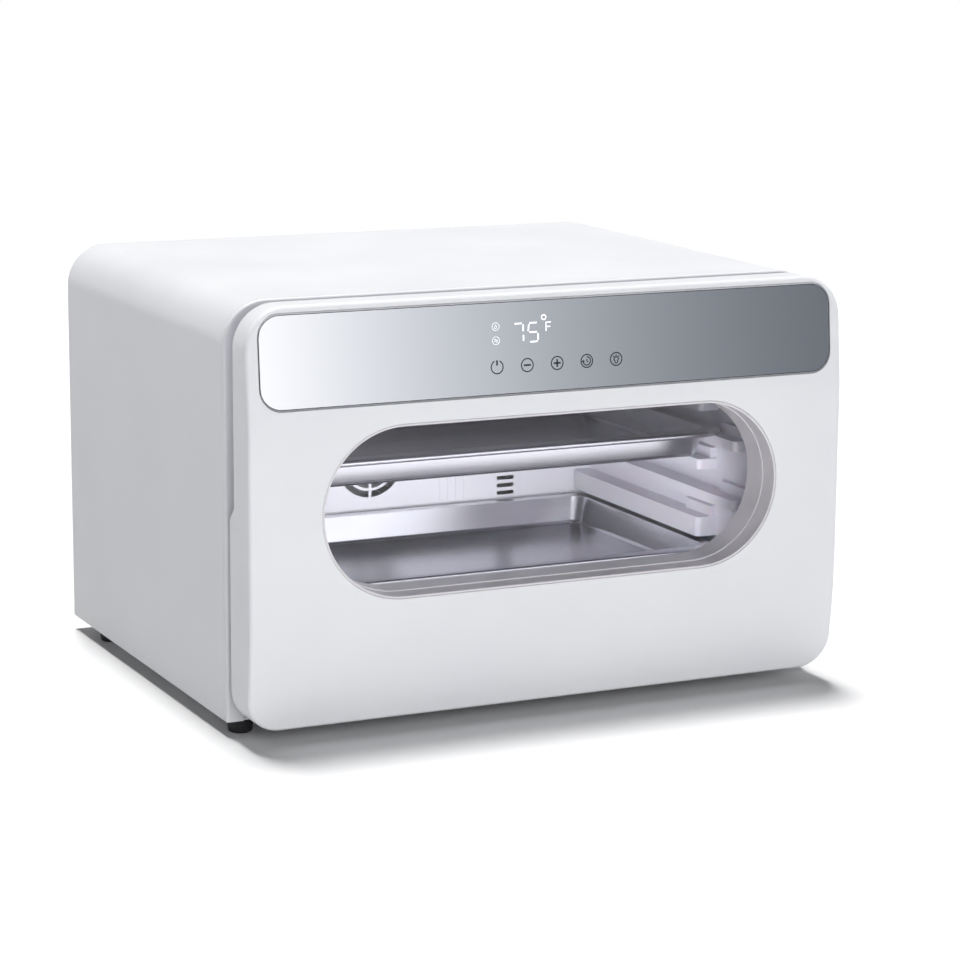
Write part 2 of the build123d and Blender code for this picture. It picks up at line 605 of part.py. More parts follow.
# ================================================================ cabinet: electrics
BOARD_X = (30.0, 190.0)
BOARD_Y = (60.0, 180.0)
BOARD_Z = BASE_TOP + 12.0
STANDOFFS = [(x, y) for x in (BOARD_X[0] + 6, BOARD_X[1] - 6) for y in (BOARD_Y[0] + 6, BOARD_Y[1] - 6)]
with BuildPart() as power_board:
    block(BOARD_X[0], BOARD_X[1], BOARD_Y[0], BOARD_Y[1], BOARD_Z, BOARD_Z + 1.6)
    top = BOARD_Z + 1.6
    block(120, 160, 80, 116, top, top + 30)
    block(124, 156, 76, 120, top + 4, top + 26)
    block(50, 66, 90, 118, top, top + 15)
    block(72, 88, 90, 118, top, top + 15)
    block(50, 96, 140, 143, top, top + 28)
    for x in (104, 118, 132):
        with Locations((x, 150, top + 10)):
            Cylinder(6, 20)
    block(160, 182, 140, 168, top, top + 10)
    with Locations([(x, y, BOARD_Z) for x, y in STANDOFFS]):
        Cylinder(1.7, 10, mode=Mode.SUBTRACT)
power_board.part.label = "power_board"
export_step(power_board.part, "parts/power_board.step")

with BuildPart() as board_standoffs:
    for x, y in STANDOFFS:
        with Locations((x, y, (BASE_TOP + BOARD_Z) / 2)):
            Cylinder(3.2, BOARD_Z - BASE_TOP)
        with Locations((x, y, BOARD_Z + 2)):
            Cylinder(1.6, 4.2)
board_standoffs.part.label = "board_standoffs"
export_step(board_standoffs.part, "parts/board_standoffs.step")

# The mains inlet: a flanged body with a three-pin socket that opens to the rear.
PIN_SIZE = (2.0, 4.0)
with BuildPart() as power_inlet:
    with BuildSketch(facing(REAR_PANEL_FACE + 1.6)):
        with Locations((INLET_X, INLET_Z)):
            RectangleRounded(50, 25, 5)
    extrude(amount=1.6)
    with BuildSketch(facing(REAR_PANEL_FACE)):
        with Locations((INLET_X, INLET_Z)):
            RectangleRounded(INLET_WIDTH, INLET_HEIGHT, 3)
    extrude(amount=22)
    with BuildSketch(facing(REAR_PANEL_FACE + 2)):
        with Locations((INLET_X, INLET_Z)):
            RectangleRounded(24.2, 16.6, 4)
    extrude(amount=18, mode=Mode.SUBTRACT)
    for dx, dz in ((-7, -2), (0, 2), (7, -2)):
        block(
            INLET_X + dx - PIN_SIZE[0] / 2,
            INLET_X + dx + PIN_SIZE[0] / 2,
            REAR_PANEL_FACE - 20,
            REAR_PANEL_FACE - 3,
            INLET_Z + dz - PIN_SIZE[1] / 2,
            INLET_Z + dz + PIN_SIZE[1] / 2,
        )
        block(
            INLET_X + dx - 2.4,
            INLET_X + dx + 2.4,
            REAR_PANEL_FACE - 30,
            REAR_PANEL_FACE - 21,
            INLET_Z + dz - 0.4,
            INLET_Z + dz + 0.4,
        )
power_inlet.part.label = "power_inlet"
export_step(power_inlet.part, "parts/power_inlet.step")

# ================================================================ feet
FOOT_TOP_RADIUS = 11.0
FOOT_BOTTOM_RADIUS = 9.3


def foot_body(x, y):
    """A tapered rubber foot with a stepped hole for its screw, in the piece that is being built."""
    with Locations((x, y, FOOT_HEIGHT / 2)):
        Cone(FOOT_BOTTOM_RADIUS, FOOT_TOP_RADIUS, FOOT_HEIGHT)
    fillet(edges().group_by(Axis.Z)[0], 1.5)
    with Locations((x, y, 3.5)):
        Cylinder(4.4, 7, mode=Mode.SUBTRACT)
    with Locations((x, y, 8)):
        Cylinder(2.2, 12, mode=Mode.SUBTRACT)


with BuildPart() as foot_front_left:
    foot_body(-FOOT_X, FOOT_FRONT_Y)
foot_front_left.part.label = "foot_front_left"
export_step(foot_front_left.part, "parts/foot_front_left.step")

with BuildPart() as foot_front_right:
    foot_body(FOOT_X, FOOT_FRONT_Y)
foot_front_right.part.label = "foot_front_right"
export_step(foot_front_right.part, "parts/foot_front_right.step")

with BuildPart() as foot_rear_left:
    foot_body(-FOOT_X, FOOT_REAR_Y)
foot_rear_left.part.label = "foot_rear_left"
export_step(foot_rear_left.part, "parts/foot_rear_left.step")

with BuildPart() as foot_rear_right:
    foot_body(FOOT_X, FOOT_REAR_Y)
foot_rear_right.part.label = "foot_rear_right"
export_step(foot_rear_right.part, "parts/foot_rear_right.step")

with BuildPart() as foot_screws:
    for x, y in FOOT_SPOTS:
        with Locations((x, y, 5.6)):
            Cylinder(3.8, 2.8)
        with Locations((x, y, 12.5)):
            Cylinder(2.0, 12)
foot_screws.part.label = "foot_screws"
export_step(foot_screws.part, "parts/foot_screws.step")

# ================================================================ door: form and cavity


def crown_y(wall, z):
    """Depth of the lower face, moved back by the wall, at a height below the crown's start."""
    return DOOR_FACE + wall + CROWN_RADIUS - (CROWN_RADIUS**2 - (CROWN_START - z) ** 2) ** 0.5


# The whole form: a section drawn from the side, trimmed to the door's outline, with a soft rim.
SECTION_BOTTOM = DOOR_BOTTOM - TRIM
SECTION_TOP = DOOR_TOP + TRIM
with BuildPart() as door_form:
    with BuildSketch(side_on(0)):
        with BuildLine():
            TangentArc(
                (DOOR_FACE, CROWN_START), (crown_y(0, SECTION_BOTTOM), SECTION_BOTTOM), tangent=(0, -1)
            )
            Line((DOOR_FACE, CROWN_START), (DOOR_FACE, LEAN_START - LEAN_BLEND))
            bend_top = (DOOR_FACE + LEAN_BLEND * sin(LEAN), LEAN_START + LEAN_BLEND * cos(LEAN))
            TangentArc((DOOR_FACE, LEAN_START - LEAN_BLEND), bend_top, tangent=(0, 1))
            Polyline(
                bend_top,
                (lean_y(SECTION_TOP), SECTION_TOP),
                (GRIP_REAR, SECTION_TOP),
                (GRIP_REAR, GRIP_STEP_HIGH),
                (DOOR_REAR, GRIP_STEP_LOW),
                (DOOR_REAR, SECTION_BOTTOM),
                (crown_y(0, SECTION_BOTTOM), SECTION_BOTTOM),
            )
        make_face()
    extrude(amount=DOOR_WIDTH / 2 + TRIM, both=True)
    with BuildSketch(facing(DOOR_REAR + TRIM)):
        door_outline(0)
    extrude(amount=DOOR_REAR - DOOR_FACE + 3 * TRIM, mode=Mode.INTERSECT)
    rim = (
        door_form.edges()
        .filter_by(Axis.Y, reverse=True)
        .filter_by(lambda e: e.bounding_box().max.Y < GRIP_REAR - TRIM)
        .filter_by(lambda e: not (e.length > DOOR_WIDTH - 30 and 30 < e.center().Z < DOOR_TOP - 30))
    )
    fillet(rim, DOOR_EDGE_ROUND)

# The hollow in it: one wall behind the face, and deeper where the control panel is let in.
POCKET_WALL = PANEL_SINK + PANEL_THICK + DOOR_WALL
with BuildPart() as door_cavity:
    with BuildSketch(side_on(0)):
        with BuildLine():
            TangentArc(
                (DOOR_FACE + DOOR_WALL, CROWN_START),
                (crown_y(DOOR_WALL, SECTION_BOTTOM), SECTION_BOTTOM),
                tangent=(0, -1),
            )
            Polyline(
                (DOOR_FACE + DOOR_WALL, CROWN_START),
                (DOOR_FACE + DOOR_WALL, LEAN_START - 10),
                (DOOR_FACE + POCKET_WALL, LEAN_START),
                (lean_y(SECTION_TOP) + POCKET_WALL, SECTION_TOP),
                (DOOR_REAR + TRIM, SECTION_TOP),
                (DOOR_REAR + TRIM, SECTION_BOTTOM),
                (crown_y(DOOR_WALL, SECTION_BOTTOM), SECTION_BOTTOM),
            )
        make_face()
    extrude(amount=DOOR_WIDTH / 2 + TRIM, both=True)
    with BuildSketch(facing(DOOR_REAR + 2 * TRIM)):
        door_outline(DOOR_WALL)
    extrude(amount=DOOR_REAR - DOOR_FACE + 4 * TRIM, mode=Mode.INTERSECT)

# Collar round the window, screw posts and hinge bosses, trimmed to the door's form.
DOOR_SCREWS_LOW = [(side * x, z) for side in (-1, 1) for x, z in ((255.5, 60), (255.5, 150), (120, 28))]
DOOR_SCREWS_HIGH = [(side * x, z) for side in (-1, 1) for x, z in ((255.5, 225), (255.5, 300), (120, 338))]
BOARD_SCREWS = [(x, rise) for x in (-100, 100) for rise in (-20, 20)]
BOSS_GAP = 2.4                # from the middle of the arm to each boss
BOSS_OUT = 11.0
BUSH_RADIUS = 4.5
with BuildPart() as door_ribs:
    with BuildSketch(facing(-198.0)):
        stadium(2.2)
        stadium(0, Mode.SUBTRACT)
    extrude(amount=20)
    for x, z in DOOR_SCREWS_LOW:
        post(x, DOOR_FACE, DOOR_REAR - COVER_THICK, z, 4)
    for x, z in DOOR_SCREWS_HIGH:
        post(x, DOOR_FACE, GRIP_REAR - COVER_THICK, z, 4)
    with BuildSketch(panel_plane(BOARD_DEPTH)):
        with Locations(BOARD_SCREWS):
            Circle(3.5)
    extrude(amount=BOARD_DEPTH - PANEL_THICK)
    for side in (-1, 1):
        for near, far in ((BOSS_GAP, BOSS_OUT), (-BOSS_OUT, -BOSS_GAP)):
            xs = sorted((side * HINGE_X + near, side * HINGE_X + far))
            block(xs[0], xs[1], DOOR_FACE, HINGE_Y + 7, DOOR_BOTTOM, HINGE_Z)
            block(xs[0], xs[1], DOOR_FACE, HINGE_Y, DOOR_BOTTOM, HINGE_Z + 7)
            axle(xs[0], xs[1], HINGE_Y, HINGE_Z, 7)
    add(door_form.part, mode=Mode.INTERSECT)

ARM_SLOT = ARM_THICK / 2 + 0.8
with BuildPart() as door_shell:
    add(door_form.part)
    add(door_cavity.part, mode=Mode.SUBTRACT)
    add(door_ribs.part)
    with BuildSketch(panel_plane(PANEL_THICK)):
        RectangleRounded(
            PANEL_WIDTH + 2 * PANEL_GAP, PANEL_HEIGHT + 2 * PANEL_GAP, PANEL_CORNER + PANEL_GAP
        )
    extrude(amount=10, mode=Mode.SUBTRACT)
    with BuildSketch(panel_plane(PANEL_THICK + DOOR_WALL + 1)):
        with Locations((DISPLAY_X, DISPLAY_RISE)):
            Rectangle(62, 24)
        with Locations((0, ICON_RISE)):
            with GridLocations(ICON_PITCH, 1, 5, 1):
                Circle(4.4)
    extrude(amount=DOOR_WALL + 2, mode=Mode.SUBTRACT)
    with BuildSketch(panel_plane(BOARD_DEPTH)):
        with Locations(BOARD_SCREWS):
            Circle(1.3)
    extrude(amount=5, mode=Mode.SUBTRACT)
    with BuildSketch(facing(DOOR_REAR)):
        stadium(0)
    extrude(amount=DOOR_REAR - DOOR_FACE + 5, mode=Mode.SUBTRACT)
    for x, z in DOOR_SCREWS_LOW:
        post(x, DOOR_REAR - 14, DOOR_REAR, z, 1.7, Mode.SUBTRACT)
    for x, z in DOOR_SCREWS_HIGH:
        post(x, GRIP_REAR - 14, GRIP_REAR, z, 1.7, Mode.SUBTRACT)
    for side in (-1, 1):
        mid = side * HINGE_X
        axle(mid - BOSS_OUT - 1, mid + BOSS_OUT + 1, HINGE_Y, HINGE_Z, BUSH_RADIUS + 0.05, Mode.SUBTRACT)
        block(
            mid - ARM_SLOT,
            mid + ARM_SLOT,
            HINGE_Y - ARM_HALF - 1.2,
            DOOR_REAR + 1,
            DOOR_BOTTOM - 1,
            DOOR_BOTTOM + DOOR_WALL + 1,
            Mode.SUBTRACT,
        )
door_shell.part.label = "door_shell"
export_step(door_shell.part, "parts/door_shell.step")

# The door's inner panel: a stepped cover inside the rim, with a raised plug over the chamber mouth.
with BuildPart() as door_inner_panel:
    with BuildSketch(facing(PLUG_FACE)):
        rounded_opening(PLUG_WIDTH, PLUG_BOTTOM, PLUG_TOP, PLUG_CORNER)
    extrude(amount=PLUG_FACE - GRIP_REAR + COVER_THICK)
    fillet(door_inner_panel.faces().sort_by(Axis.Y)[-1].edges(), 3)
    with BuildSketch(side_on(0)):
        Polygon(
            (DOOR_REAR - COVER_THICK, DOOR_BOTTOM),
            (DOOR_REAR, DOOR_BOTTOM),
            (DOOR_REAR, GRIP_STEP_LOW),
            (GRIP_REAR, GRIP_STEP_HIGH),
            (GRIP_REAR, DOOR_TOP),
            (GRIP_REAR - COVER_THICK, DOOR_TOP),
            (GRIP_REAR - COVER_THICK, GRIP_STEP_HIGH - 1),
            (DOOR_REAR - COVER_THICK, GRIP_STEP_LOW - 1),
            align=None,
        )
    extrude(amount=DOOR_WIDTH / 2, both=True)
    with BuildSketch(facing(DOOR_REAR + 5)):
        door_outline(DOOR_WALL + 0.25)
    extrude(amount=40, mode=Mode.INTERSECT)
    with BuildSketch(facing(PLUG_FACE - PLUG_SKIN)):
        rounded_opening(
            PLUG_WIDTH - 2 * PLUG_SKIN,
            PLUG_BOTTOM + PLUG_SKIN,
            PLUG_TOP - PLUG_SKIN,
            PLUG_CORNER - PLUG_SKIN,
        )
    extrude(amount=30, mode=Mode.SUBTRACT)
    with BuildSketch(facing(PLUG_FACE)):
        stadium(0.6)
    extrude(amount=10, mode=Mode.SUBTRACT)
    for x, z in DOOR_SCREWS_LOW:
        post(x, DOOR_REAR - 5, DOOR_REAR + 1, z, 1.7, Mode.SUBTRACT)
    for x, z in DOOR_SCREWS_HIGH:
        post(x, GRIP_REAR - 5, GRIP_REAR + 1, z, 1.7, Mode.SUBTRACT)
    for side in (-1, 1):
        mid = side * HINGE_X
        block(
            mid - ARM_SLOT,
            mid + ARM_SLOT,
            DOOR_REAR - 10,
            DOOR_REAR + 5,
            DOOR_BOTTOM,
            HINGE_Z + ARM_HALF + 1.5,
            Mode.SUBTRACT,
        )
door_inner_panel.part.label = "door_inner_panel"
export_step(door_inner_panel.part, "parts/door_inner_panel.step")

with BuildPart() as door_screws:
    for x, z in DOOR_SCREWS_LOW:
        post(x, DOOR_REAR, DOOR_REAR + 1.6, z, 3.0)
        post(x, DOOR_REAR - 12, DOOR_REAR + 0.5, z, 1.6)
    for x, z in DOOR_SCREWS_HIGH:
        post(x, GRIP_REAR, GRIP_REAR + 1.6, z, 3.0)
        post(x, GRIP_REAR - 12, GRIP_REAR + 0.5, z, 1.6)
door_screws.part.label = "door_screws"
export_step(door_screws.part, "parts/door_screws.step")

# ================================================================ door: window
# The window is one clear moulded dish: a lip in the face, walls with a small step, and the pane.
DISH_GAP = 0.25
DISH_FLANGE = 6.0
with BuildPart() as window_dish:
    with BuildSketch(facing(PLUG_FACE)):
        stadium(-DISH_GAP)
    extrude(amount=PLUG_FACE - DOOR_FACE)
    with BuildSketch(facing(PLUG_FACE - 6.0)):
        stadium(DISH_FLANGE)
    extrude(amount=1.6)
    with BuildSketch(facing(DISH_STEP)):
        stadium(-DISH_GAP - DISH_WALL)
    extrude(amount=DISH_STEP - DOOR_FACE + 1, mode=Mode.SUBTRACT)
    with BuildSketch(facing(PLUG_FACE - 2.2)):
        stadium(-DISH_GAP - DISH_WALL - 0.9)
    extrude(amount=PLUG_FACE - 2.2 - DISH_STEP, mode=Mode.SUBTRACT)
    fillet(window_dish.edges().group_by(Axis.Y)[0], 0.8)
window_dish.part.label = "window_dish"
export_step(window_dish.part, "parts/window_dish.step")

# The seal fills the space between the dish's flange and the plug.
with BuildPart() as window_seal:
    with BuildSketch(facing(PLUG_FACE - PLUG_SKIN)):
        stadium(DISH_FLANGE)
        stadium(0.4, Mode.SUBTRACT)
    extrude(amount=6.0 - PLUG_SKIN)
window_seal.part.label = "window_seal"
export_step(window_seal.part, "parts/window_seal.step")

# ================================================================ door: controls
with BuildPart() as control_panel:
    with BuildSketch(panel_plane(PANEL_THICK)):
        RectangleRounded(PANEL_WIDTH, PANEL_HEIGHT, PANEL_CORNER)
    extrude(amount=PANEL_THICK)
    chamfer(control_panel.faces().sort_by(Axis.Y)[0].edges(), 1.0)
control_panel.part.label = "control_panel"
export_step(control_panel.part, "parts/control_panel.step")

# The board behind the panel, with its chips and a connector on the rear side.
BOARD_SHEET = 1.6
BOARD_BACK = BOARD_DEPTH + BOARD_SHEET
with BuildPart() as control_board:
    with BuildSketch(panel_plane(BOARD_BACK)):
        Rectangle(220, 54)
        with Locations(BOARD_SCREWS):
            Circle(1.5, mode=Mode.SUBTRACT)
    extrude(amount=BOARD_SHEET)
    with BuildSketch(panel_plane(BOARD_BACK + 2.4)):
        with Locations((-62, 2)):
            Rectangle(25, 24)
        with Locations((22, 6)):
            Rectangle(20, 20)
    extrude(amount=2.4)
    with BuildSketch(panel_plane(BOARD_BACK + 7)):
        with Locations((78, -3)):
            Rectangle(18, 10)
    extrude(amount=7)
control_board.part.label = "control_board"
export_step(control_board.part, "parts/control_board.step")

with BuildPart() as board_screws:
    with BuildSketch(panel_plane(BOARD_BACK + 1.6)):
        with Locations(BOARD_SCREWS):
            Circle(2.6)
    extrude(amount=1.6)
    with BuildSketch(panel_plane(BOARD_BACK + 0.5)):
        with Locations(BOARD_SCREWS):
            Circle(1.2)
    extrude(amount=6)
board_screws.part.label = "board_screws"
export_step(board_screws.part, "parts/board_screws.step")

with BuildPart() as display_module:
    with BuildSketch(panel_plane(BOARD_DEPTH)):
        with Locations((DISPLAY_X, DISPLAY_RISE)):
            Rectangle(60, 22)
    extrude(amount=BOARD_DEPTH - PANEL_THICK - 0.1)
display_module.part.label = "display_module"
export_step(display_module.part, "parts/display_module.step")

# One contact spring behind each touch field.
with BuildPart() as touch_springs:
    with BuildSketch(panel_plane(BOARD_DEPTH)):
        with Locations((0, ICON_RISE)):
            with GridLocations(ICON_PITCH, 1, 5, 1):
                Circle(3.4)
                Circle(2.6, mode=Mode.SUBTRACT)
    extrude(amount=BOARD_DEPTH - PANEL_THICK - 0.1)
touch_springs.part.label = "touch_springs"
export_step(touch_springs.part, "parts/touch_springs.step")

# ================================================================ hinges and catch
SINK = 1.7                    # depth and taper of the countersunk screw heads


def right_hinge_screws():
    """The screw positions of the right hinge only."""
    return [(x, z) for x, z in HINGE_SCREWS if x > 0]


with BuildPart() as hinge_bracket_right:
    block(
        HINGE_X - PLATE_HALF,
        HINGE_X + PLATE_HALF,
        FRAME_FRONT - PLATE_THICK,
        FRAME_FRONT,
        PLATE_BOTTOM,
        PLATE_TOP,
    )
    fillet(hinge_bracket_right.edges().filter_by(Axis.Y), 3)
    block(
        HINGE_X - ARM_THICK / 2,
        HINGE_X + ARM_THICK / 2,
        HINGE_Y,
        FRAME_FRONT - 0.5,
        HINGE_Z - ARM_HALF,
        HINGE_Z + ARM_HALF,
    )
    axle(HINGE_X - ARM_THICK / 2, HINGE_X + ARM_THICK / 2, HINGE_Y, HINGE_Z, EYE_RADIUS)
    axle(HINGE_X - ARM_THICK, HINGE_X + ARM_THICK, HINGE_Y, HINGE_Z, PIN_RADIUS + 0.03, Mode.SUBTRACT)
    for x, z in right_hinge_screws():
        post(x, FRAME_FRONT - 5, FRAME_FRONT + 1, z, 1.7, Mode.SUBTRACT)
        with Locations(Location((x, FRAME_FRONT - PLATE_THICK + SINK / 2, z), (90, 0, 0))):
            Cone(1.7, 1.7 + SINK, SINK, mode=Mode.SUBTRACT)
hinge_bracket_right.part.label = "hinge_bracket_right"
export_step(hinge_bracket_right.part, "parts/hinge_bracket_right.step")

with BuildPart() as hinge_bracket_left:
    add(hinge_bracket_right.part.mirror(Plane.YZ))
hinge_bracket_left.part.label = "hinge_bracket_left"
export_step(hinge_bracket_left.part, "parts/hinge_bracket_left.step")

with BuildPart() as hinge_screws:
    for x, z in HINGE_SCREWS:
        with Locations(Location((x, FRAME_FRONT - PLATE_THICK + SINK / 2, z), (90, 0, 0))):
            Cone(1.6, 1.6 + SINK, SINK)
        post(x, FRAME_FRONT - 1, FRAME_FRONT + 12, z, 1.6)
hinge_screws.part.label = "hinge_screws"
export_step(hinge_screws.part, "parts/hinge_screws.step")



def hinge_pin(mid):
    """A plain pin with broken edges, in the piece that is being built."""
    axle(mid - BOSS_OUT, mid + BOSS_OUT, HINGE_Y, HINGE_Z, PIN_RADIUS)
    chamfer(edges().filter_by(GeomType.CIRCLE), 0.5)


def hinge_bushes(mid):
    """The two plain bearing bushes beside the hinge arm, in the piece that is being built."""
    for near, far in ((BOSS_GAP, BOSS_OUT), (-BOSS_OUT, -BOSS_GAP)):
        axle(mid + near, mid + far, HINGE_Y, HINGE_Z, BUSH_RADIUS)
    axle(mid - BOSS_OUT - 1, mid + BOSS_OUT + 1, HINGE_Y, HINGE_Z, PIN_RADIUS + 0.05, Mode.SUBTRACT)


with BuildPart() as hinge_pin_left:
    hinge_pin(-HINGE_X)
hinge_pin_left.part.label = "hinge_pin_left"
export_step(hinge_pin_left.part, "parts/hinge_pin_left.step")

with BuildPart() as hinge_pin_right:
    hinge_pin(HINGE_X)
hinge_pin_right.part.label = "hinge_pin_right"
export_step(hinge_pin_right.part, "parts/hinge_pin_right.step")

with BuildPart() as hinge_bushes_left:
    hinge_bushes(-HINGE_X)
hinge_bushes_left.part.label = "hinge_bushes_left"
export_step(hinge_bushes_left.part, "parts/hinge_bushes_left.step")

with BuildPart() as hinge_bushes_right:
    hinge_bushes(HINGE_X)
hinge_bushes_right.part.label = "hinge_bushes_right"
export_step(hinge_bushes_right.part, "parts/hinge_bushes_right.step")

# Two magnets on the frame pull on two strips inside the door's plug.
with BuildPart() as catch_magnets:
    for x in (-MAGNET_X, MAGNET_X):
        block(x - 20, x + 20, PLUG_FACE + 0.4, FRAME_FRONT, MAGNET_Z - 3.5, MAGNET_Z + 3.5)
    fillet(catch_magnets.edges().filter_by(Axis.Y), 1.5)
catch_magnets.part.label = "catch_magnets"
export_step(catch_magnets.part, "parts/catch_magnets.step")

with BuildPart() as strike_strips:
    for x in (-MAGNET_X, MAGNET_X):
        block(
            x - 22, x + 22, PLUG_FACE - PLUG_SKIN - 1.2, PLUG_FACE - PLUG_SKIN, MAGNET_Z - 4, MAGNET_Z + 4
        )
strike_strips.part.label = "strike_strips"
export_step(strike_strips.part, "parts/strike_strips.step")

# ================================================================ fan
BLADES = 22
BLADE_INNER = 33.0
BLADE_OUTER = 49.0
BLADE_SHEET = 1.0
BLADE_SWEEP = radians(16)
FAN_FRONT = 167.0
FAN_DISC = 183.0
FAN_REAR = 184.4

# One curved blade; the wheel carries a ring of them between its disc and its front hoop.
with BuildPart() as fan_blade:
    with BuildSketch(facing(FAN_DISC + 0.4)):
        with BuildLine():
            for radius, bulge in ((BLADE_SHEET / 2, -22.0), (-BLADE_SHEET / 2, -22.0)):
                RadiusArc(
                    (BLADE_INNER, FAN_Z + radius),
                    (BLADE_OUTER * cos(BLADE_SWEEP), FAN_Z + BLADE_OUTER * sin(BLADE_SWEEP) + radius),
                    bulge,
                )
            Line((BLADE_INNER, FAN_Z - BLADE_SHEET / 2), (BLADE_INNER, FAN_Z + BLADE_SHEET / 2))
            Line(
                (BLADE_OUTER * cos(BLADE_SWEEP), FAN_Z + BLADE_OUTER * sin(BLADE_SWEEP) - BLADE_SHEET / 2),
                (BLADE_OUTER * cos(BLADE_SWEEP), FAN_Z + BLADE_OUTER * sin(BLADE_SWEEP) + BLADE_SHEET / 2),
            )
        make_face()
    extrude(amount=FAN_DISC + 0.4 - FAN_FRONT)

with BuildPart() as fan_impeller:
    post(0, FAN_DISC, FAN_REAR, FAN_Z, 50)
    post(0, FAN_DISC - 9, FAN_REAR, FAN_Z, 7)
    for blade in range(BLADES):
        add(fan_blade.part.rotate(FAN_AXIS, blade * 360 / BLADES))
    with BuildSketch(facing(FAN_FRONT + 2)):
        with Locations((0, FAN_Z)):
            Circle(50)
            Circle(46.5, mode=Mode.SUBTRACT)
    extrude(amount=2)
    post(0, FAN_FRONT, FAN_REAR + 1, FAN_Z, SHAFT_RADIUS, Mode.SUBTRACT)
fan_impeller.part.label = "fan_impeller"
export_step(fan_impeller.part, "parts/fan_impeller.step")

with BuildPart() as fan_shaft:
    post(0, FAN_FRONT + 1, MOTOR_FRONT + 11, FAN_Z, SHAFT_RADIUS)
    chamfer(fan_shaft.faces().sort_by(Axis.Y)[0].edges(), 0.5)
fan_shaft.part.label = "fan_shaft"
export_step(fan_shaft.part, "parts/fan_shaft.step")

with BuildPart() as impeller_nut:
    with BuildSketch(facing(FAN_DISC - 9)):
        with Locations((0, FAN_Z)):
            RegularPolygon(4.6, 6)
            Circle(SHAFT_RADIUS, mode=Mode.SUBTRACT)
    extrude(amount=4)
impeller_nut.part.label = "impeller_nut"
export_step(impeller_nut.part, "parts/impeller_nut.step")

# ================================================================ pans
# A pressed pan: leaning walls, rounded bottom edge, flat flange and a rolled bead all round.
PAN_MOUTH_X = PAN_LENGTH - PAN_BEAD - 2 * PAN_FLANGE
PAN_MOUTH_Y = PAN_DEPTH - PAN_BEAD - 2 * PAN_FLANGE
PAN_MOUTH_CORNER = PAN_CORNER - PAN_BEAD / 2 - PAN_FLANGE + 4
PAN_FOOT_X = PAN_MOUTH_X - 2 * PAN_DRAFT
PAN_FOOT_Y = PAN_MOUTH_Y - 2 * PAN_DRAFT
PAN_FOOT_CORNER = PAN_MOUTH_CORNER - 2
PAN_BOTTOM_ROUND = 5.0
PAN_TOP_Z = LOWER_PAN_Z + PAN_HEIGHT
with BuildPart() as pan_hollow:
    with BuildSketch(Plane((0, PAN_Y, LOWER_PAN_Z + PAN_SHEET))):
        RectangleRounded(
            PAN_FOOT_X - 2 * PAN_SHEET, PAN_FOOT_Y - 2 * PAN_SHEET, PAN_FOOT_CORNER - PAN_SHEET
        )
    with BuildSketch(Plane((0, PAN_Y, PAN_TOP_Z + PAN_SHEET))):
        RectangleRounded(
            PAN_MOUTH_X - 2 * PAN_SHEET, PAN_MOUTH_Y - 2 * PAN_SHEET, PAN_MOUTH_CORNER - PAN_SHEET
        )
    loft(ruled=True)
    fillet(pan_hollow.faces().sort_by(Axis.Z)[0].edges(), PAN_BOTTOM_ROUND - PAN_SHEET)

bead_plan = Plane((0, PAN_Y, PAN_TOP_Z - PAN_BEAD / 2)) * RectangleRounded(
    PAN_LENGTH - PAN_BEAD, PAN_DEPTH - PAN_BEAD, PAN_CORNER - PAN_BEAD / 2
)
bead_path = bead_plan.face().outer_wire()
with BuildPart() as lower_pan:
    with BuildSketch(Plane((0, PAN_Y, LOWER_PAN_Z))):
        RectangleRounded(PAN_FOOT_X, PAN_FOOT_Y, PAN_FOOT_CORNER)
    with BuildSketch(Plane((0, PAN_Y, PAN_TOP_Z))):
        RectangleRounded(PAN_MOUTH_X, PAN_MOUTH_Y, PAN_MOUTH_CORNER)
    loft(ruled=True)
    fillet(lower_pan.faces().sort_by(Axis.Z)[0].edges(), PAN_BOTTOM_ROUND)
    with BuildSketch(Plane((0, PAN_Y, PAN_TOP_Z - PAN_SHEET))):
        RectangleRounded(PAN_LENGTH - PAN_BEAD, PAN_DEPTH - PAN_BEAD, PAN_CORNER - PAN_BEAD / 2)
    extrude(amount=PAN_SHEET)
    add(pan_hollow.part, mode=Mode.SUBTRACT)
    with BuildSketch(Plane(origin=bead_path @ 0, z_dir=bead_path % 0)):
        Circle(PAN_BEAD / 2)
    sweep(path=bead_path)
lower_pan.part.label = "lower_pan"
export_step(lower_pan.part, "parts/lower_pan.step")

with BuildPart() as upper_pan:
    add(lower_pan.part.translate((0, 0, UPPER_PAN_Z - LOWER_PAN_Z)))
upper_pan.part.label = "upper_pan"
export_step(upper_pan.part, "parts/upper_pan.step")
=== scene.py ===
# %% [markdown]
# A countertop dough proofer: a white steel cabinet with a drop-down door, a mirror-like touch panel,
# a stadium window and two steel pans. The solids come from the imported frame, at their real size.
# This lesson gives each of them its finish, makes the small repeated pieces, and lights the studio.
# The first cell loads the frame; everything is in metres, in the frame's own axes.

# %% Load the frame
import json
from math import atan2, cos, radians, sin

import bmesh
import bpy
from mathutils import Matrix, Vector


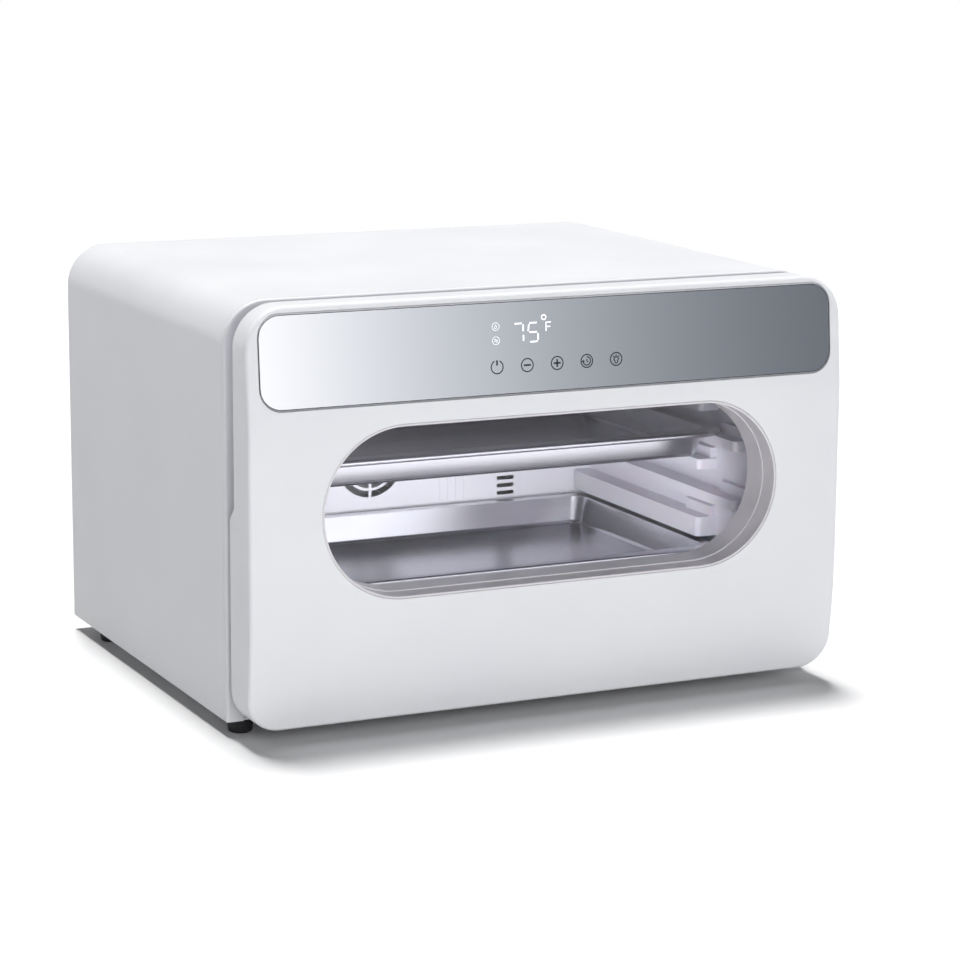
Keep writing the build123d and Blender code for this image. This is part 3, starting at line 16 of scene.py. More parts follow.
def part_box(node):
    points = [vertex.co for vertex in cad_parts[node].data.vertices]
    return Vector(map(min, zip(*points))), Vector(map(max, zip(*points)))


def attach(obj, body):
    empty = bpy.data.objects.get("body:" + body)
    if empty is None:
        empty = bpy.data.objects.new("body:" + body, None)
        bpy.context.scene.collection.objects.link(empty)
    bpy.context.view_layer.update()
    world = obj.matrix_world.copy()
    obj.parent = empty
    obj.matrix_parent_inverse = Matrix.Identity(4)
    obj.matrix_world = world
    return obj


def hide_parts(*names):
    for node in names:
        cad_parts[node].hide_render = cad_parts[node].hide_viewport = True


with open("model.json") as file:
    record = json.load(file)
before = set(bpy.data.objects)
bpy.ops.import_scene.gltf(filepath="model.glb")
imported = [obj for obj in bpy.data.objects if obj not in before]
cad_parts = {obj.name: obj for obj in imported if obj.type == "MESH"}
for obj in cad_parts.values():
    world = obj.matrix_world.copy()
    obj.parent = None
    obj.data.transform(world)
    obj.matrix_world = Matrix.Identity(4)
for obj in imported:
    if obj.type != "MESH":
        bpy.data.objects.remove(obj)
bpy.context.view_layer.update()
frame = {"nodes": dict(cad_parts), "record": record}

MM = 0.001

# %% [markdown]
# The camera stands to the left of the front, a little above the cabinet. Its place and its three
# angles were fitted to the edges of the cabinet, so the render and the picture can be laid over each
# other. A long lens keeps the sides almost parallel. The matrix is built from the three directions
# of the view, which is easier to check than three Euler angles in the right order.

# %% Camera
PICTURE_WIDTH = 960
FOCAL_PIXELS = 2999.4
SENSOR = 36.0
CAMERA_PLACE = Vector((-1.0697, -2.3156, 0.6662))
CAMERA_TURN = radians(25.519)
CAMERA_DIP = radians(11.318)
CAMERA_ROLL = radians(0.388)

ahead = Vector((
    sin(CAMERA_TURN) * cos(CAMERA_DIP), cos(CAMERA_TURN) * cos(CAMERA_DIP), -sin(CAMERA_DIP),
))
level_right = Vector((cos(CAMERA_TURN), -sin(CAMERA_TURN), 0))
level_up = level_right.cross(ahead)
right = level_right * cos(CAMERA_ROLL) + level_up * sin(CAMERA_ROLL)
up = level_up * cos(CAMERA_ROLL) - level_right * sin(CAMERA_ROLL)

lens = bpy.data.cameras.new("studio_camera")
lens.sensor_width = SENSOR
lens.lens = FOCAL_PIXELS * SENSOR / PICTURE_WIDTH
camera = bpy.data.objects.new("studio_camera", lens)
camera_turn = Matrix((right, up, -ahead)).transposed().to_4x4()
camera.matrix_world = Matrix.Translation(CAMERA_PLACE) @ camera_turn
bpy.context.scene.collection.objects.link(camera)
bpy.context.scene.camera = camera
bpy.context.scene.view_settings.view_transform = "Standard"
print("lens", round(lens.lens, 1), "mm")

# %% [markdown]
# Finishes that share an effect share a shader node group. It puts out only a colour, a roughness and
# a height; the shader itself stays in the material. The helpers below add one node each, and every
# input of theirs may be a plain value or the output of another node, so a formula reads like one.


# %% Helpers for shader nodes
COLOUR, NUMBER = "NodeSocketColor", "NodeSocketFloat"
VECTOR, MATERIAL = "NodeSocketVector", "NodeSocketMaterial"
NOISE_LOW, NOISE_HIGH = 0.3, 0.7


def feed(tree, socket, value):
    """Link a socket to the output of another node, or give it a plain value."""
    if isinstance(value, bpy.types.NodeSocket):
        tree.links.new(value, socket)
    else:
        socket.default_value = value


def new_group(name, inputs):
    """A group with named inputs; also gives the place on the piece, which every pattern starts from."""
    group = bpy.data.node_groups.new(name, "ShaderNodeTree")
    for title, kind, value in inputs:
        socket = group.interface.new_socket(title, in_out="INPUT", socket_type=kind)
        socket.default_value = value
    for title, kind in (("Colour", COLOUR), ("Roughness", NUMBER), ("Height", NUMBER)):
        group.interface.new_socket(title, in_out="OUTPUT", socket_type=kind)
    where = group.nodes.new("ShaderNodeTexCoord").outputs["Object"]
    return group, group.nodes.new("NodeGroupInput").outputs, where


def close_group(group, **patterns):
    leaving = group.nodes.new("NodeGroupOutput").inputs
    for title, pattern in patterns.items():
        group.links.new(pattern, leaving[title])
    print("group", group.name, "has", len(group.nodes), "nodes")


def add_noise(tree, vector, scale, detail):
    noise = tree.nodes.new("ShaderNodeTexNoise")
    for title, value in (("Vector", vector), ("Scale", scale), ("Detail", detail)):
        feed(tree, noise.inputs[title], value)
    return noise.outputs["Fac"]


def add_range(tree, value, low, high, curve="LINEAR"):
    """Rises from nothing to one as the value goes from low to high."""
    remap = tree.nodes.new("ShaderNodeMapRange")
    remap.interpolation_type = curve
    for title, item in (("Value", value), ("From Min", low), ("From Max", high)):
        feed(tree, remap.inputs[title], item)
    return remap.outputs["Result"]


def add_spread_noise(tree, vector, scale, detail):
    """Noise stays near its middle; this spreads it from nothing to one."""
    return add_range(tree, add_noise(tree, vector, scale, detail), NOISE_LOW, NOISE_HIGH)


def add_math(tree, operation, *values):
    step = tree.nodes.new("ShaderNodeMath")
    step.operation = operation
    for socket, value in zip(step.inputs, values):
        feed(tree, socket, value)
    return step.outputs["Value"]


def add_mix(tree, factor, first, second, kind="Color"):
    """The first of two colours, or of two numbers, where the factor is nothing."""
    mix = tree.nodes.new("ShaderNodeMix")
    mix.data_type = "RGBA" if kind == "Color" else "FLOAT"
    for name, value in (("Factor_Float", factor), ("A_" + kind, first), ("B_" + kind, second)):
        feed(tree, next(socket for socket in mix.inputs if socket.identifier == name), value)
    return next(socket for socket in mix.outputs if socket.identifier == "Result_" + kind)


def blend(tree, first, second, share):
    """Two patterns as one; the share is that of the first."""
    parts = [add_math(tree, "MULTIPLY", first, share), add_math(tree, "MULTIPLY", second, 1 - share)]
    return add_math(tree, "ADD", *parts)


def moved(tree, base, pattern, amount):
    """A base value that a pattern moves by up to the amount."""
    return add_math(tree, "ADD", add_math(tree, "MULTIPLY", pattern, amount), base)


print("helpers for shader nodes are ready")

# %% [markdown]
# The first group is the skin of a moulded or powder-coated part: a fine grain that catches the light,
# and a slow drift of tone and gloss over the part. Without the drift a large white side looks drawn.

# %% The skin of moulded and coated parts
DRIFT_SCALE, DRIFT_SHARE, DRIFT_MIDDLE = 9.0, 0.7, 0.5
skin, entry, where = new_group(
    "coated_skin",
    [
        ("Colour", COLOUR, (0.8, 0.8, 0.8, 1)),
        ("Shade", COLOUR, (0.7, 0.7, 0.7, 1)),
        ("Grain Scale", NUMBER, 700.0),
        ("Roughness", NUMBER, 0.4),
        ("Roughness Drift", NUMBER, 0.06),
    ],
)
grain = add_noise(skin, where, entry["Grain Scale"], 3.0)
drift = add_spread_noise(skin, where, DRIFT_SCALE, 2.0)
either_way = add_math(skin, "SUBTRACT", drift, DRIFT_MIDDLE)
close_group(
    skin,
    Colour=add_mix(skin, blend(skin, drift, grain, DRIFT_SHARE), entry["Shade"], entry["Colour"]),
    Roughness=moved(skin, entry["Roughness"], either_way, entry["Roughness Drift"]),
    Height=grain,
)

# %% [markdown]
# The second group is metal that was rolled or brushed: the noise is stretched a long way in one
# direction, so it turns into fine lines. The stretch is an input, because the lines of a pan run
# level round its walls, and those of a pin along its length.


# %% Rolled and brushed metal
def add_vector_math(tree, operation, *values):
    step = tree.nodes.new("ShaderNodeVectorMath")
    step.operation = operation
    for socket, value in zip(step.inputs, values):
        feed(tree, socket, value)
    return step.outputs["Value" if operation == "DOT_PRODUCT" else "Vector"]


CLOUD_SCALE, LINE_SHARE = 14.0, 0.6
brushed, entry, where = new_group(
    "rolled_metal",
    [
        ("Colour", COLOUR, (0.7, 0.7, 0.7, 1)),
        ("Shade", COLOUR, (0.6, 0.6, 0.6, 1)),
        ("Stretch", VECTOR, (6.0, 500.0, 500.0)),
        ("Roughness", NUMBER, 0.25),
        ("Line Depth", NUMBER, 0.1),
    ],
)
stretched = add_vector_math(brushed, "MULTIPLY", where, entry["Stretch"])
lines = add_spread_noise(brushed, stretched, 1.0, 3.0)
cloud = add_spread_noise(brushed, where, CLOUD_SCALE, 2.0)
close_group(
    brushed,
    Colour=add_mix(brushed, blend(brushed, lines, cloud, LINE_SHARE), entry["Shade"], entry["Colour"]),
    Roughness=moved(brushed, entry["Roughness"], lines, entry["Line Depth"]),
    Height=lines,
)

# %% [markdown]
# Galvanised sheet shows spangle, the flat crystals of the zinc. A Voronoi texture gives each cell
# its own grey and its own gloss, which a noise could not do, because it has no edges.


# %% Zinc spangle
def add_cells(tree, vector, scale, distance="EUCLIDEAN"):
    cells = tree.nodes.new("ShaderNodeTexVoronoi")
    cells.distance = distance
    feed(tree, cells.inputs["Vector"], vector)
    feed(tree, cells.inputs["Scale"], scale)
    return cells.outputs


CRYSTAL_GLOSS = 0.2
spangle, entry, where = new_group(
    "zinc_spangle",
    [
        ("Colour", COLOUR, (0.62, 0.64, 0.66, 1)),
        ("Shade", COLOUR, (0.45, 0.47, 0.5, 1)),
        ("Crystal Scale", NUMBER, 110.0),
        ("Roughness", NUMBER, 0.35),
    ],
)
crystals = add_cells(spangle, where, entry["Crystal Scale"])
split = spangle.nodes.new("ShaderNodeSeparateColor")
feed(spangle, split.inputs["Color"], crystals["Color"])
close_group(
    spangle,
    Colour=add_mix(spangle, split.outputs["Red"], entry["Shade"], entry["Colour"]),
    Roughness=moved(spangle, entry["Roughness"], split.outputs["Green"], CRYSTAL_GLOSS),
    Height=split.outputs["Blue"],
)

# %% [markdown]
# The circuit boards get a group of their own too. The distances in square Voronoi cells are folded
# into bands, and the far part of each band is a copper track that shows through the green mask.

# %% Tracks of a circuit board
TRACK_STEP, TRACK_EDGE, COPPER_GLOSS = 0.12, 0.07, -0.1
tracks, entry, where = new_group(
    "board_tracks",
    [
        ("Colour", COLOUR, (0.02, 0.16, 0.06, 1)),
        ("Shade", COLOUR, (0.05, 0.3, 0.1, 1)),
        ("Track Scale", NUMBER, 60.0),
        ("Roughness", NUMBER, 0.3),
    ],
)
squares = add_cells(tracks, where, entry["Track Scale"], "CHEBYCHEV")
bands = add_math(tracks, "PINGPONG", squares["Distance"], TRACK_STEP)
copper = add_math(tracks, "GREATER_THAN", bands, TRACK_EDGE)
close_group(
    tracks,
    Colour=add_mix(tracks, copper, entry["Colour"], entry["Shade"]),
    Roughness=moved(tracks, entry["Roughness"], copper, COPPER_GLOSS),
    Height=copper,
)

# %% [markdown]
# A material is one Principled shader, fed by one of the groups. The helper takes tones as they look
# on a screen and turns them into linear light. Values that are the same all over the part, such as
# metallic or coat, are set on the shader itself. Two short forms serve the skins and the metals.


# %% Helpers for materials
def tone_of(red, green, blue):
    """A screen tone, 0 to 255, as linear light."""
    linear = []
    for level in (red, green, blue):
        part = level / 255
        linear.append(part / 12.92 if part <= 0.04045 else ((part + 0.055) / 1.055) ** 2.4)
    return (*linear, 1)


materials = {}


def finish(slot, group, colour, shade, relief, values=None, **group_inputs):
    """A material for one slot: a group feeds colour, roughness and bump; values go on the shader.
    The relief is the depth of the bumps in millimetres."""
    material = bpy.data.materials.new(slot)
    material.use_nodes = True
    nodes, links = material.node_tree.nodes, material.node_tree.links
    shader = nodes["Principled BSDF"]
    pattern = nodes.new("ShaderNodeGroup")
    pattern.node_tree = group
    pattern.inputs["Colour"].default_value = tone_of(*colour)
    pattern.inputs["Shade"].default_value = tone_of(*shade)
    for name, value in group_inputs.items():
        pattern.inputs[name.replace("_", " ")].default_value = value
    links.new(pattern.outputs["Colour"], shader.inputs["Base Color"])
    links.new(pattern.outputs["Roughness"], shader.inputs["Roughness"])
    if relief:
        bump = nodes.new("ShaderNodeBump")
        bump.inputs["Strength"].default_value = 1.0
        bump.inputs["Distance"].default_value = relief * MM
        links.new(pattern.outputs["Height"], bump.inputs["Height"])
        links.new(bump.outputs["Normal"], shader.inputs["Normal"])
    for name, value in (values or {}).items():
        shader.inputs[name].default_value = value
    materials[slot] = material
    return material


def coat(slot, colour, shade, relief, grain, roughness, drift, values=None):
    """A moulded or coated skin; the grain is its scale, and the drift is that of its gloss."""
    return finish(
        slot, skin, colour, shade, relief, values,
        Grain_Scale=grain, Roughness=roughness, Roughness_Drift=drift,
    )


def metal(slot, colour, shade, relief, stretch, roughness, lines):
    """Rolled or turned metal; the lines run along the axis with the small stretch."""
    return finish(
        slot, brushed, colour, shade, relief, {"Metallic": 1.0},
        Stretch=stretch, Roughness=roughness, Line_Depth=lines,
    )


# %% [markdown]
# The cabinet is steel with a smooth white powder coat, and the door is moulded in white plastic. Both
# look the same at first sight; the coat has a soft orange-peel surface and the plastic a finer and
# flatter grain with a little more gloss.

# %% White coats and plastics
for slot, colour, shade, relief, grain, roughness, drift in (
    ("cabinet_paint", (238, 239, 241), (233, 234, 237), 0.012, 420.0, 0.42, 0.05),
    ("rear_paint", (236, 237, 240), (229, 231, 234), 0.012, 420.0, 0.45, 0.05),
    ("door_plastic", (239, 240, 242), (235, 236, 239), 0.004, 900.0, 0.36, 0.04),
    # The inner plastic and the frame are violet grey: partly their own tone, partly painted shade for the
    # narrow gap between door and cabinet, where they show.
    ("inner_plastic", (200, 198, 208), (192, 190, 201), 0.006, 900.0, 0.42, 0.05),
    ("frame_plastic", (206, 203, 212), (198, 195, 205), 0.006, 900.0, 0.42, 0.05),
    # The liner of the chamber is greyer than the baffle: partly its own tone, partly painted shade on the
    # side walls and ceiling of the chamber.
    ("liner_enamel", (204, 203, 211), (195, 194, 203), 0.01, 300.0, 0.3, 0.08),
    ("baffle_enamel", (236, 236, 241), (228, 228, 235), 0.01, 300.0, 0.28, 0.06),
):
    coat(slot, colour, shade, relief, grain, roughness, drift)
print(len(materials), "materials so far")

# %% [markdown]
# Rubber, silicone, nylon and the darker plastics use the same skin with other tones, a coarser relief
# and less gloss. The rack guides are a grey translucent plastic, so a little light goes into them:
# the subsurface weight is set on the shader. The lit lines of the display give light of their own.

# %% Rubber, grey plastics and display
coat("foot_rubber", (38, 38, 41), (28, 28, 31), 0.03, grain=900.0, roughness=0.6, drift=0.1)
coat(
    "gasket_silicone", (176, 177, 184), (166, 167, 175), 0.01,
    grain=600.0, roughness=0.5, drift=0.06,
)
coat(
    "guide_plastic", (232, 230, 237), (224, 222, 230), 0.006,
    grain=600.0, roughness=0.33, drift=0.06,
    values={"Subsurface Weight": 0.2, "Subsurface Scale": 0.004},
)
coat("inlet_plastic", (42, 42, 45), (34, 34, 37), 0.02, grain=900.0, roughness=0.45, drift=0.08)
coat("cutout_phenolic", (64, 44, 34), (48, 33, 26), 0.01, grain=800.0, roughness=0.5, drift=0.1)
coat(
    "standoff_nylon", (222, 218, 208), (211, 206, 195), 0.01,
    grain=600.0, roughness=0.45, drift=0.06,
)
# The lens of the chamber lamp glows faintly, though no lamp is lit behind it: a painted glow.
coat(
    "lens_plastic", (246, 244, 238), (238, 236, 230), 0.02, grain=500.0, roughness=0.5, drift=0.05,
    values={"Emission Color": tone_of(255, 250, 242), "Emission Strength": 0.05},
)
coat("display_plastic", (24, 25, 28), (18, 19, 22), 0.005, grain=600.0, roughness=0.25, drift=0.05)
coat("touch_ink", (20, 23, 30), (16, 19, 26), 0.0, grain=900.0, roughness=0.4, drift=0.05)
coat(
    "display_light", (250, 250, 252), (244, 244, 248), 0.0, grain=900.0, roughness=0.4, drift=0.05,
    values={"Emission Color": tone_of(255, 255, 255), "Emission Strength": 0.8},
)
print(len(materials), "materials so far")

# %% [markdown]
# Metals have a metallic of one, and their colour is what they reflect. The pans are stainless steel
# with the fine rolling lines along their length. Springs, pins and screws are smaller and are turned
# or wound, so their lines are short.

# %% Metals
for slot, colour, shade, relief, stretch, roughness, lines in (
    ("pan_steel", (198, 198, 203), (190, 190, 196), 0.0, (8.0, 8.0, 240.0), 0.2, 0.04),
    ("steel_screws", (196, 198, 202), (170, 172, 178), 0.003, (900.0, 900.0, 900.0), 0.28, 0.1),
    ("motor_steel", (176, 178, 182), (154, 156, 162), 0.003, (500.0, 20.0, 500.0), 0.34, 0.12),
    ("heater_sheath", (120, 116, 112), (96, 92, 90), 0.006, (700.0, 700.0, 700.0), 0.42, 0.15),
    ("probe_steel", (206, 207, 210), (184, 186, 190), 0.002, (900.0, 30.0, 900.0), 0.2, 0.1),
    ("hinge_steel", (190, 192, 197), (168, 171, 177), 0.004, (700.0, 700.0, 25.0), 0.3, 0.14),
    ("spring_steel", (186, 187, 190), (160, 161, 165), 0.002, (900.0, 900.0, 900.0), 0.25, 0.1),
    ("pin_steel", (204, 205, 208), (184, 186, 190), 0.002, (20.0, 900.0, 900.0), 0.2, 0.1),
    ("bush_brass", (214, 178, 104), (190, 152, 82), 0.003, (20.0, 900.0, 900.0), 0.3, 0.12),
    ("magnet_nickel", (200, 196, 188), (182, 178, 170), 0.002, (500.0, 500.0, 500.0), 0.24, 0.1),
    ("impeller_aluminium", (206, 208, 212), (186, 188, 193), 0.003, (700.0, 25.0, 700.0), 0.3, 0.12),
):
    metal(slot, colour, shade, relief, stretch, roughness, lines)
finish(
    "zinc_sheet", spangle, (182, 184, 187), (160, 163, 167), 0.004,
    values={"Metallic": 1.0}, Crystal_Scale=110.0, Roughness=0.34,
)
finish(
    "circuit_board", tracks, (14, 84, 46), (30, 116, 66), 0.03,
    values={"Coat Weight": 0.4, "Coat Roughness": 0.2}, Track_Scale=90.0, Roughness=0.35,
)
print(len(materials), "materials so far")

# %% [markdown]
# The control panel is a mirror-like sheet: it shows the bright studio at one end and the dark end of
# the room at the other. Its rolling lines are so fine that they hardly break the reflection.
# The pane of the window is clear plastic, so its transmission is one and its colour nearly white; the
# moulded walls of the same piece are finely frosted and look pale grey. Lamps would not reach through
# such glass, so for shadow rays alone it is mixed with a transparent shader.


# %% Mirror panel and clear window
def add_shader_mix(tree, factor, first, second):
    mix = tree.nodes.new("ShaderNodeMixShader")
    for socket, value in zip(mix.inputs, (factor, first, second)):
        tree.links.new(value, socket)
    return mix.outputs["Shader"]


metal(
    "panel_mirror", (250, 250, 251), (249, 249, 250), 0.0,
    stretch=(8.0, 900.0, 900.0), roughness=0.07, lines=0.008,
)
PLASTIC_INDEX = 1.42
for name, colour, shade, clear, roughness in (
    ("clear_window", (250, 250, 252), (244, 244, 249), 1.0, 0.02),
    ("frosted_wall", (250, 247, 250), (245, 242, 246), 0.2, 0.25),
):
    material = coat(
        name, colour, shade, 0.0, grain=300.0, roughness=roughness, drift=0.01,
        values={"Transmission Weight": clear, "IOR": PLASTIC_INDEX},
    )
    tree = material.node_tree
    open_to_lamps = add_shader_mix(
        tree,
        tree.nodes.new("ShaderNodeLightPath").outputs["Is Shadow Ray"],
        tree.nodes["Principled BSDF"].outputs["BSDF"],
        tree.nodes.new("ShaderNodeBsdfTransparent").outputs["BSDF"],
    )
    tree.links.new(open_to_lamps, tree.nodes["Material Output"].inputs["Surface"])
print(len(materials), "materials in all")

# %% [markdown]
# Most pieces keep the exact form of their solid. The solid's mesh is a heap of loose triangles, so
# each piece starts as a copy whose corners are merged. Its shading is then smooth, except where two
# faces meet at an angle.


# %% Helpers for the pieces that follow a solid
MERGE = 0.002 * MM
SHARP_ANGLE = radians(32)
bodies = frame["record"]["behaviour"]["bodies"]
body_of = {node: body for body, members in bodies.items() for node in members}
slot_of = {name: item.data.materials[0].name.split(".")[0] for name, item in frame["nodes"].items()}


def link_piece(name, mesh, body, slot, *nodes):
    """Put a finished mesh into the scene, on its body. One that has no finish gets its slot's."""
    if not mesh.materials:
        mesh.materials.append(materials[slot])
    piece = bpy.data.objects.new(name, mesh)
    bpy.context.scene.collection.objects.link(piece)
    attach(piece, body)
    if nodes:
        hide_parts(*nodes)
    return piece


def shade_mesh(mesh):
    mesh.shade_smooth()
    mesh.set_sharp_from_angle(angle=SHARP_ANGLE)


def merged_shape(node):
    """The solid of a node, with its loose triangles joined at their corners."""
    shape = bmesh.new()
    shape.from_mesh(frame["nodes"][node].data)
    bmesh.ops.remove_doubles(shape, verts=shape.verts, dist=MERGE)
    return shape


def merged_copy(node):
    """The solid of a node as one closed mesh."""
    shape = merged_shape(node)
    mesh = bpy.data.meshes.new(node)
    shape.to_mesh(mesh)
    shape.free()
    if "custom_normal" in mesh.attributes:
        mesh.attributes.remove(mesh.attributes["custom_normal"])
    shade_mesh(mesh)
    return mesh


def dress(node):
    return link_piece(node + "_finished", merged_copy(node), body_of[node], slot_of[node], node)


SCREW_NODES = sorted(name for name in frame["nodes"] if name.endswith("_screws"))
MADE_BELOW = set(SCREW_NODES) | {"touch_springs", "window_dish"}
for node in sorted(set(frame["nodes"]) - MADE_BELOW):
    dress(node)
print(len(frame["nodes"]) - len(MADE_BELOW), "pieces dressed")

# %% [markdown]
# The window dish keeps its solid too, but it has two finishes: the flat pane at its rear is clear, and
# every other face belongs to the frosted wall. So each face is given the number of its finish.

# %% Window dish
PANE_THICK = 2.5 * MM
FLAT_ENOUGH = 0.9
dish = merged_copy("window_dish")
for name in ("clear_window", "frosted_wall"):
    dish.materials.append(materials[name])
pane_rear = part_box("window_dish")[1].y
for face in dish.polygons:
    on_pane = abs(face.normal.y) > FLAT_ENOUGH and face.center.y > pane_rear - PANE_THICK
    face.material_index = 0 if on_pane else 1
link_piece("window_dish_finished", dish, body_of["window_dish"], slot_of["window_dish"], "window_dish")
print(sum(face.material_index for face in dish.polygons), "of", len(dish.polygons), "faces are frosted")

# %% [markdown]
# Small pieces that repeat are made with Geometry Nodes. Each tree is built here with named inputs for
# its sizes. One helper makes the tree, one adds a node, one closes the tree, and the last one runs a
# tree on a few points or lines and turns the result into a plain closed mesh.


# %% Helpers for Geometry Nodes
def new_tree(name, inputs):
    tree = bpy.data.node_groups.new(name, "GeometryNodeTree")
    tree.interface.new_socket("Geometry", in_out="INPUT", socket_type="NodeSocketGeometry")
    for title, kind, value in inputs:
        socket = tree.interface.new_socket(title, in_out="INPUT", socket_type=kind)
        if value is not None:
            socket.default_value = value
    tree.interface.new_socket("Geometry", in_out="OUTPUT", socket_type="NodeSocketGeometry")
    return tree, tree.nodes.new("NodeGroupInput").outputs


def add_node(tree, kind, settings=None, **values):
    """A node whose sockets are fed by name; an underscore in a name stands for a space."""
    node = tree.nodes.new(kind)
    for name, value in (settings or {}).items():
        setattr(node, name, value)
    for name, value in values.items():
        feed(tree, node.inputs[name.replace("_", " ")], value)
    return node.outputs[0]


def close_tree(tree, geometry, finish_socket):
    """Every tree ends with real geometry that has its material."""
    real = add_node(tree, "GeometryNodeRealizeInstances", Geometry=geometry)
    done = add_node(tree, "GeometryNodeSetMaterial", Geometry=real, Material=finish_socket)
    tree.links.new(done, tree.nodes.new("NodeGroupOutput").inputs["Geometry"])
    print("tree", tree.name, "has", len(tree.nodes), "nodes")


def grow(tree, name, points, edges=(), **inputs):
    """Run a tree on points and lines; the result is a plain mesh with its faces outward."""
    seed = bpy.data.meshes.new(name + "_seed")
    seed.from_pydata([tuple(point) for point in points], list(edges), [])
    host = bpy.data.objects.new(name + "_seed", seed)
    bpy.context.scene.collection.objects.link(host)
    modifier = host.modifiers.new("nodes", "NODES")
    modifier.node_group = tree
    for item in tree.interface.items_tree:
        title = item.name.replace(" ", "_")
        if item.in_out == "INPUT" and title in inputs:
            modifier[item.identifier] = inputs[title]
    evaluated = host.evaluated_get(bpy.context.evaluated_depsgraph_get())
    mesh = bpy.data.meshes.new_from_object(evaluated)
    mesh.name = name
    host.modifiers.remove(modifier)
    bpy.data.objects.remove(host)
    bpy.data.meshes.remove(seed)
    shape = bmesh.new()
    shape.from_mesh(mesh)
    bmesh.ops.remove_doubles(shape, verts=shape.verts, dist=MERGE)
    bmesh.ops.dissolve_degenerate(shape, edges=shape.edges, dist=MERGE)
    bmesh.ops.recalc_face_normals(shape, faces=shape.faces)
    shape.to_mesh(mesh)
    shape.free()
    shade_mesh(mesh)
    return mesh


# %% [markdown]
# The screws are pan heads with a cross recess. The tree starts from a plain cylinder and moves its
# five rings to the corners of a screw's section: the tip, the end of the shank, the underside of the
# head, its edge and its top. Two arms then cut the cross, and a copy goes on each point. The cut is
# made at a thousand times the size, where the small sizes don't blur it, and the arms have different
# depths, so no two cuts end in one plane.

# %% Tree of a screw
SIDES = 24
STEPS = 4
CUT_SCALE = 1000.0
EDGE_SHARE = 0.55
ARM_REACH = 1.15
FIRST_LIFT, SECOND_LIFT = 1.05, 1.1
screw_tree, entry = new_tree(
    "cross_head_screws",
    [
        ("Axis", VECTOR, (0, 0, 1)),
        ("Head Radius", NUMBER, 3.0 * MM),
        ("Head Height", NUMBER, 1.8 * MM),
        ("Shank Radius", NUMBER, 1.6 * MM),
        ("Shank Length", NUMBER, 8.0 * MM),
        ("Under Radius", NUMBER, 3.0 * MM),
        ("Top Radius", NUMBER, 2.2 * MM),
        ("Recess Width", NUMBER, 0.9 * MM),
        ("Finish", MATERIAL, None),
    ],
)


def scaled(value, factor):
    return add_math(screw_tree, "MULTIPLY", value, factor)


def chosen(index, values):
    """The value whose number in the list is the index."""
    switch = screw_tree.nodes.new("GeometryNodeIndexSwitch")
    switch.data_type = "FLOAT"
    while len(switch.index_switch_items) < len(values):
        switch.index_switch_items.new()
    feed(screw_tree, switch.inputs["Index"], index)
    for number, value in enumerate(values):
        feed(screw_tree, switch.inputs[str(number)], value)
    return switch.outputs[0]


blank = add_node(
    screw_tree, "GeometryNodeMeshCylinder",
    Vertices=SIDES, Side_Segments=STEPS, Radius=1.0, Depth=float(STEPS),
)
corner = screw_tree.nodes.new("ShaderNodeSeparateXYZ")
feed(screw_tree, corner.inputs["Vector"], add_node(screw_tree, "GeometryNodeInputPosition"))
ring = add_math(screw_tree, "ROUND", add_math(screw_tree, "ADD", corner.outputs["Z"], STEPS / 2))
shank, under, head = entry["Shank Radius"], entry["Under Radius"], entry["Head Radius"]
tall = entry["Head Height"]
tip = scaled(entry["Shank Length"], -1.0)
radius = chosen(ring, [shank, shank, under, head, entry["Top Radius"]])
section = add_node(
    screw_tree, "ShaderNodeCombineXYZ",
    X=scaled(corner.outputs["X"], radius),
    Y=scaled(corner.outputs["Y"], radius),
    Z=chosen(ring, [tip, 0.0, 0.0, scaled(tall, EDGE_SHARE), tall]),
)
screw = add_node(screw_tree, "GeometryNodeSetPosition", Geometry=blank, Position=section)
screw = add_node(screw_tree, "GeometryNodeTransform", Geometry=screw, Scale=(CUT_SCALE,) * 3)
for width, length, lift in (("X", "Y", FIRST_LIFT), ("Y", "X", SECOND_LIFT)):
    arm_sizes = {
        width: scaled(entry["Recess Width"], CUT_SCALE),
        length: scaled(head, ARM_REACH * CUT_SCALE),
        "Z": scaled(tall, CUT_SCALE),
    }
    arm = add_node(
        screw_tree, "GeometryNodeMeshCube",
        Size=add_node(screw_tree, "ShaderNodeCombineXYZ", **arm_sizes),
    )
    height = add_node(screw_tree, "ShaderNodeCombineXYZ", Z=scaled(tall, lift * CUT_SCALE))
    arm = add_node(screw_tree, "GeometryNodeTransform", Geometry=arm, Translation=height)
    screw = add_node(
        screw_tree, "GeometryNodeMeshBoolean", {"operation": "DIFFERENCE"}, Mesh_1=screw, Mesh_2=arm
    )
turn = add_node(screw_tree, "FunctionNodeAlignRotationToVector", {"axis": "Z"}, Vector=entry["Axis"])
screws = add_node(
    screw_tree, "GeometryNodeInstanceOnPoints",
    Points=entry["Geometry"], Instance=screw, Rotation=turn, Scale=(1 / CUT_SCALE,) * 3,
)
close_tree(screw_tree, screws, entry["Finish"])

# %% [markdown]
# In the solids the screws are plain. Their places and sizes are read from there, so they stay right when a
# solid changes: a head is the part of a screw that is wider than its shank. A head that is widest only at
# its very top is countersunk. The direction of the heads is listed for each node;
# on the guides it follows the wall that a screw stands on.

# %% Places and sizes of the screws
SAME_RADIUS = 0.05 * MM
THIN_EDGE = 0.1 * MM
TOP_SHARE = 0.72
RECESS_SHARE = 0.3
BOARD_LEAN = radians(5)
board_up = Vector((0, cos(BOARD_LEAN), -sin(BOARD_LEAN)))
REAR, FRONT, DOWN = Vector((0, 1, 0)), Vector((0, -1, 0)), Vector((0, 0, -1))
HEAD_DIRECTION = {
    "rear_screws": REAR, "door_screws": REAR, "motor_screws": REAR,
    "baffle_screws": FRONT, "hinge_screws": FRONT,
    "board_screws": board_up, "foot_screws": DOWN,
}


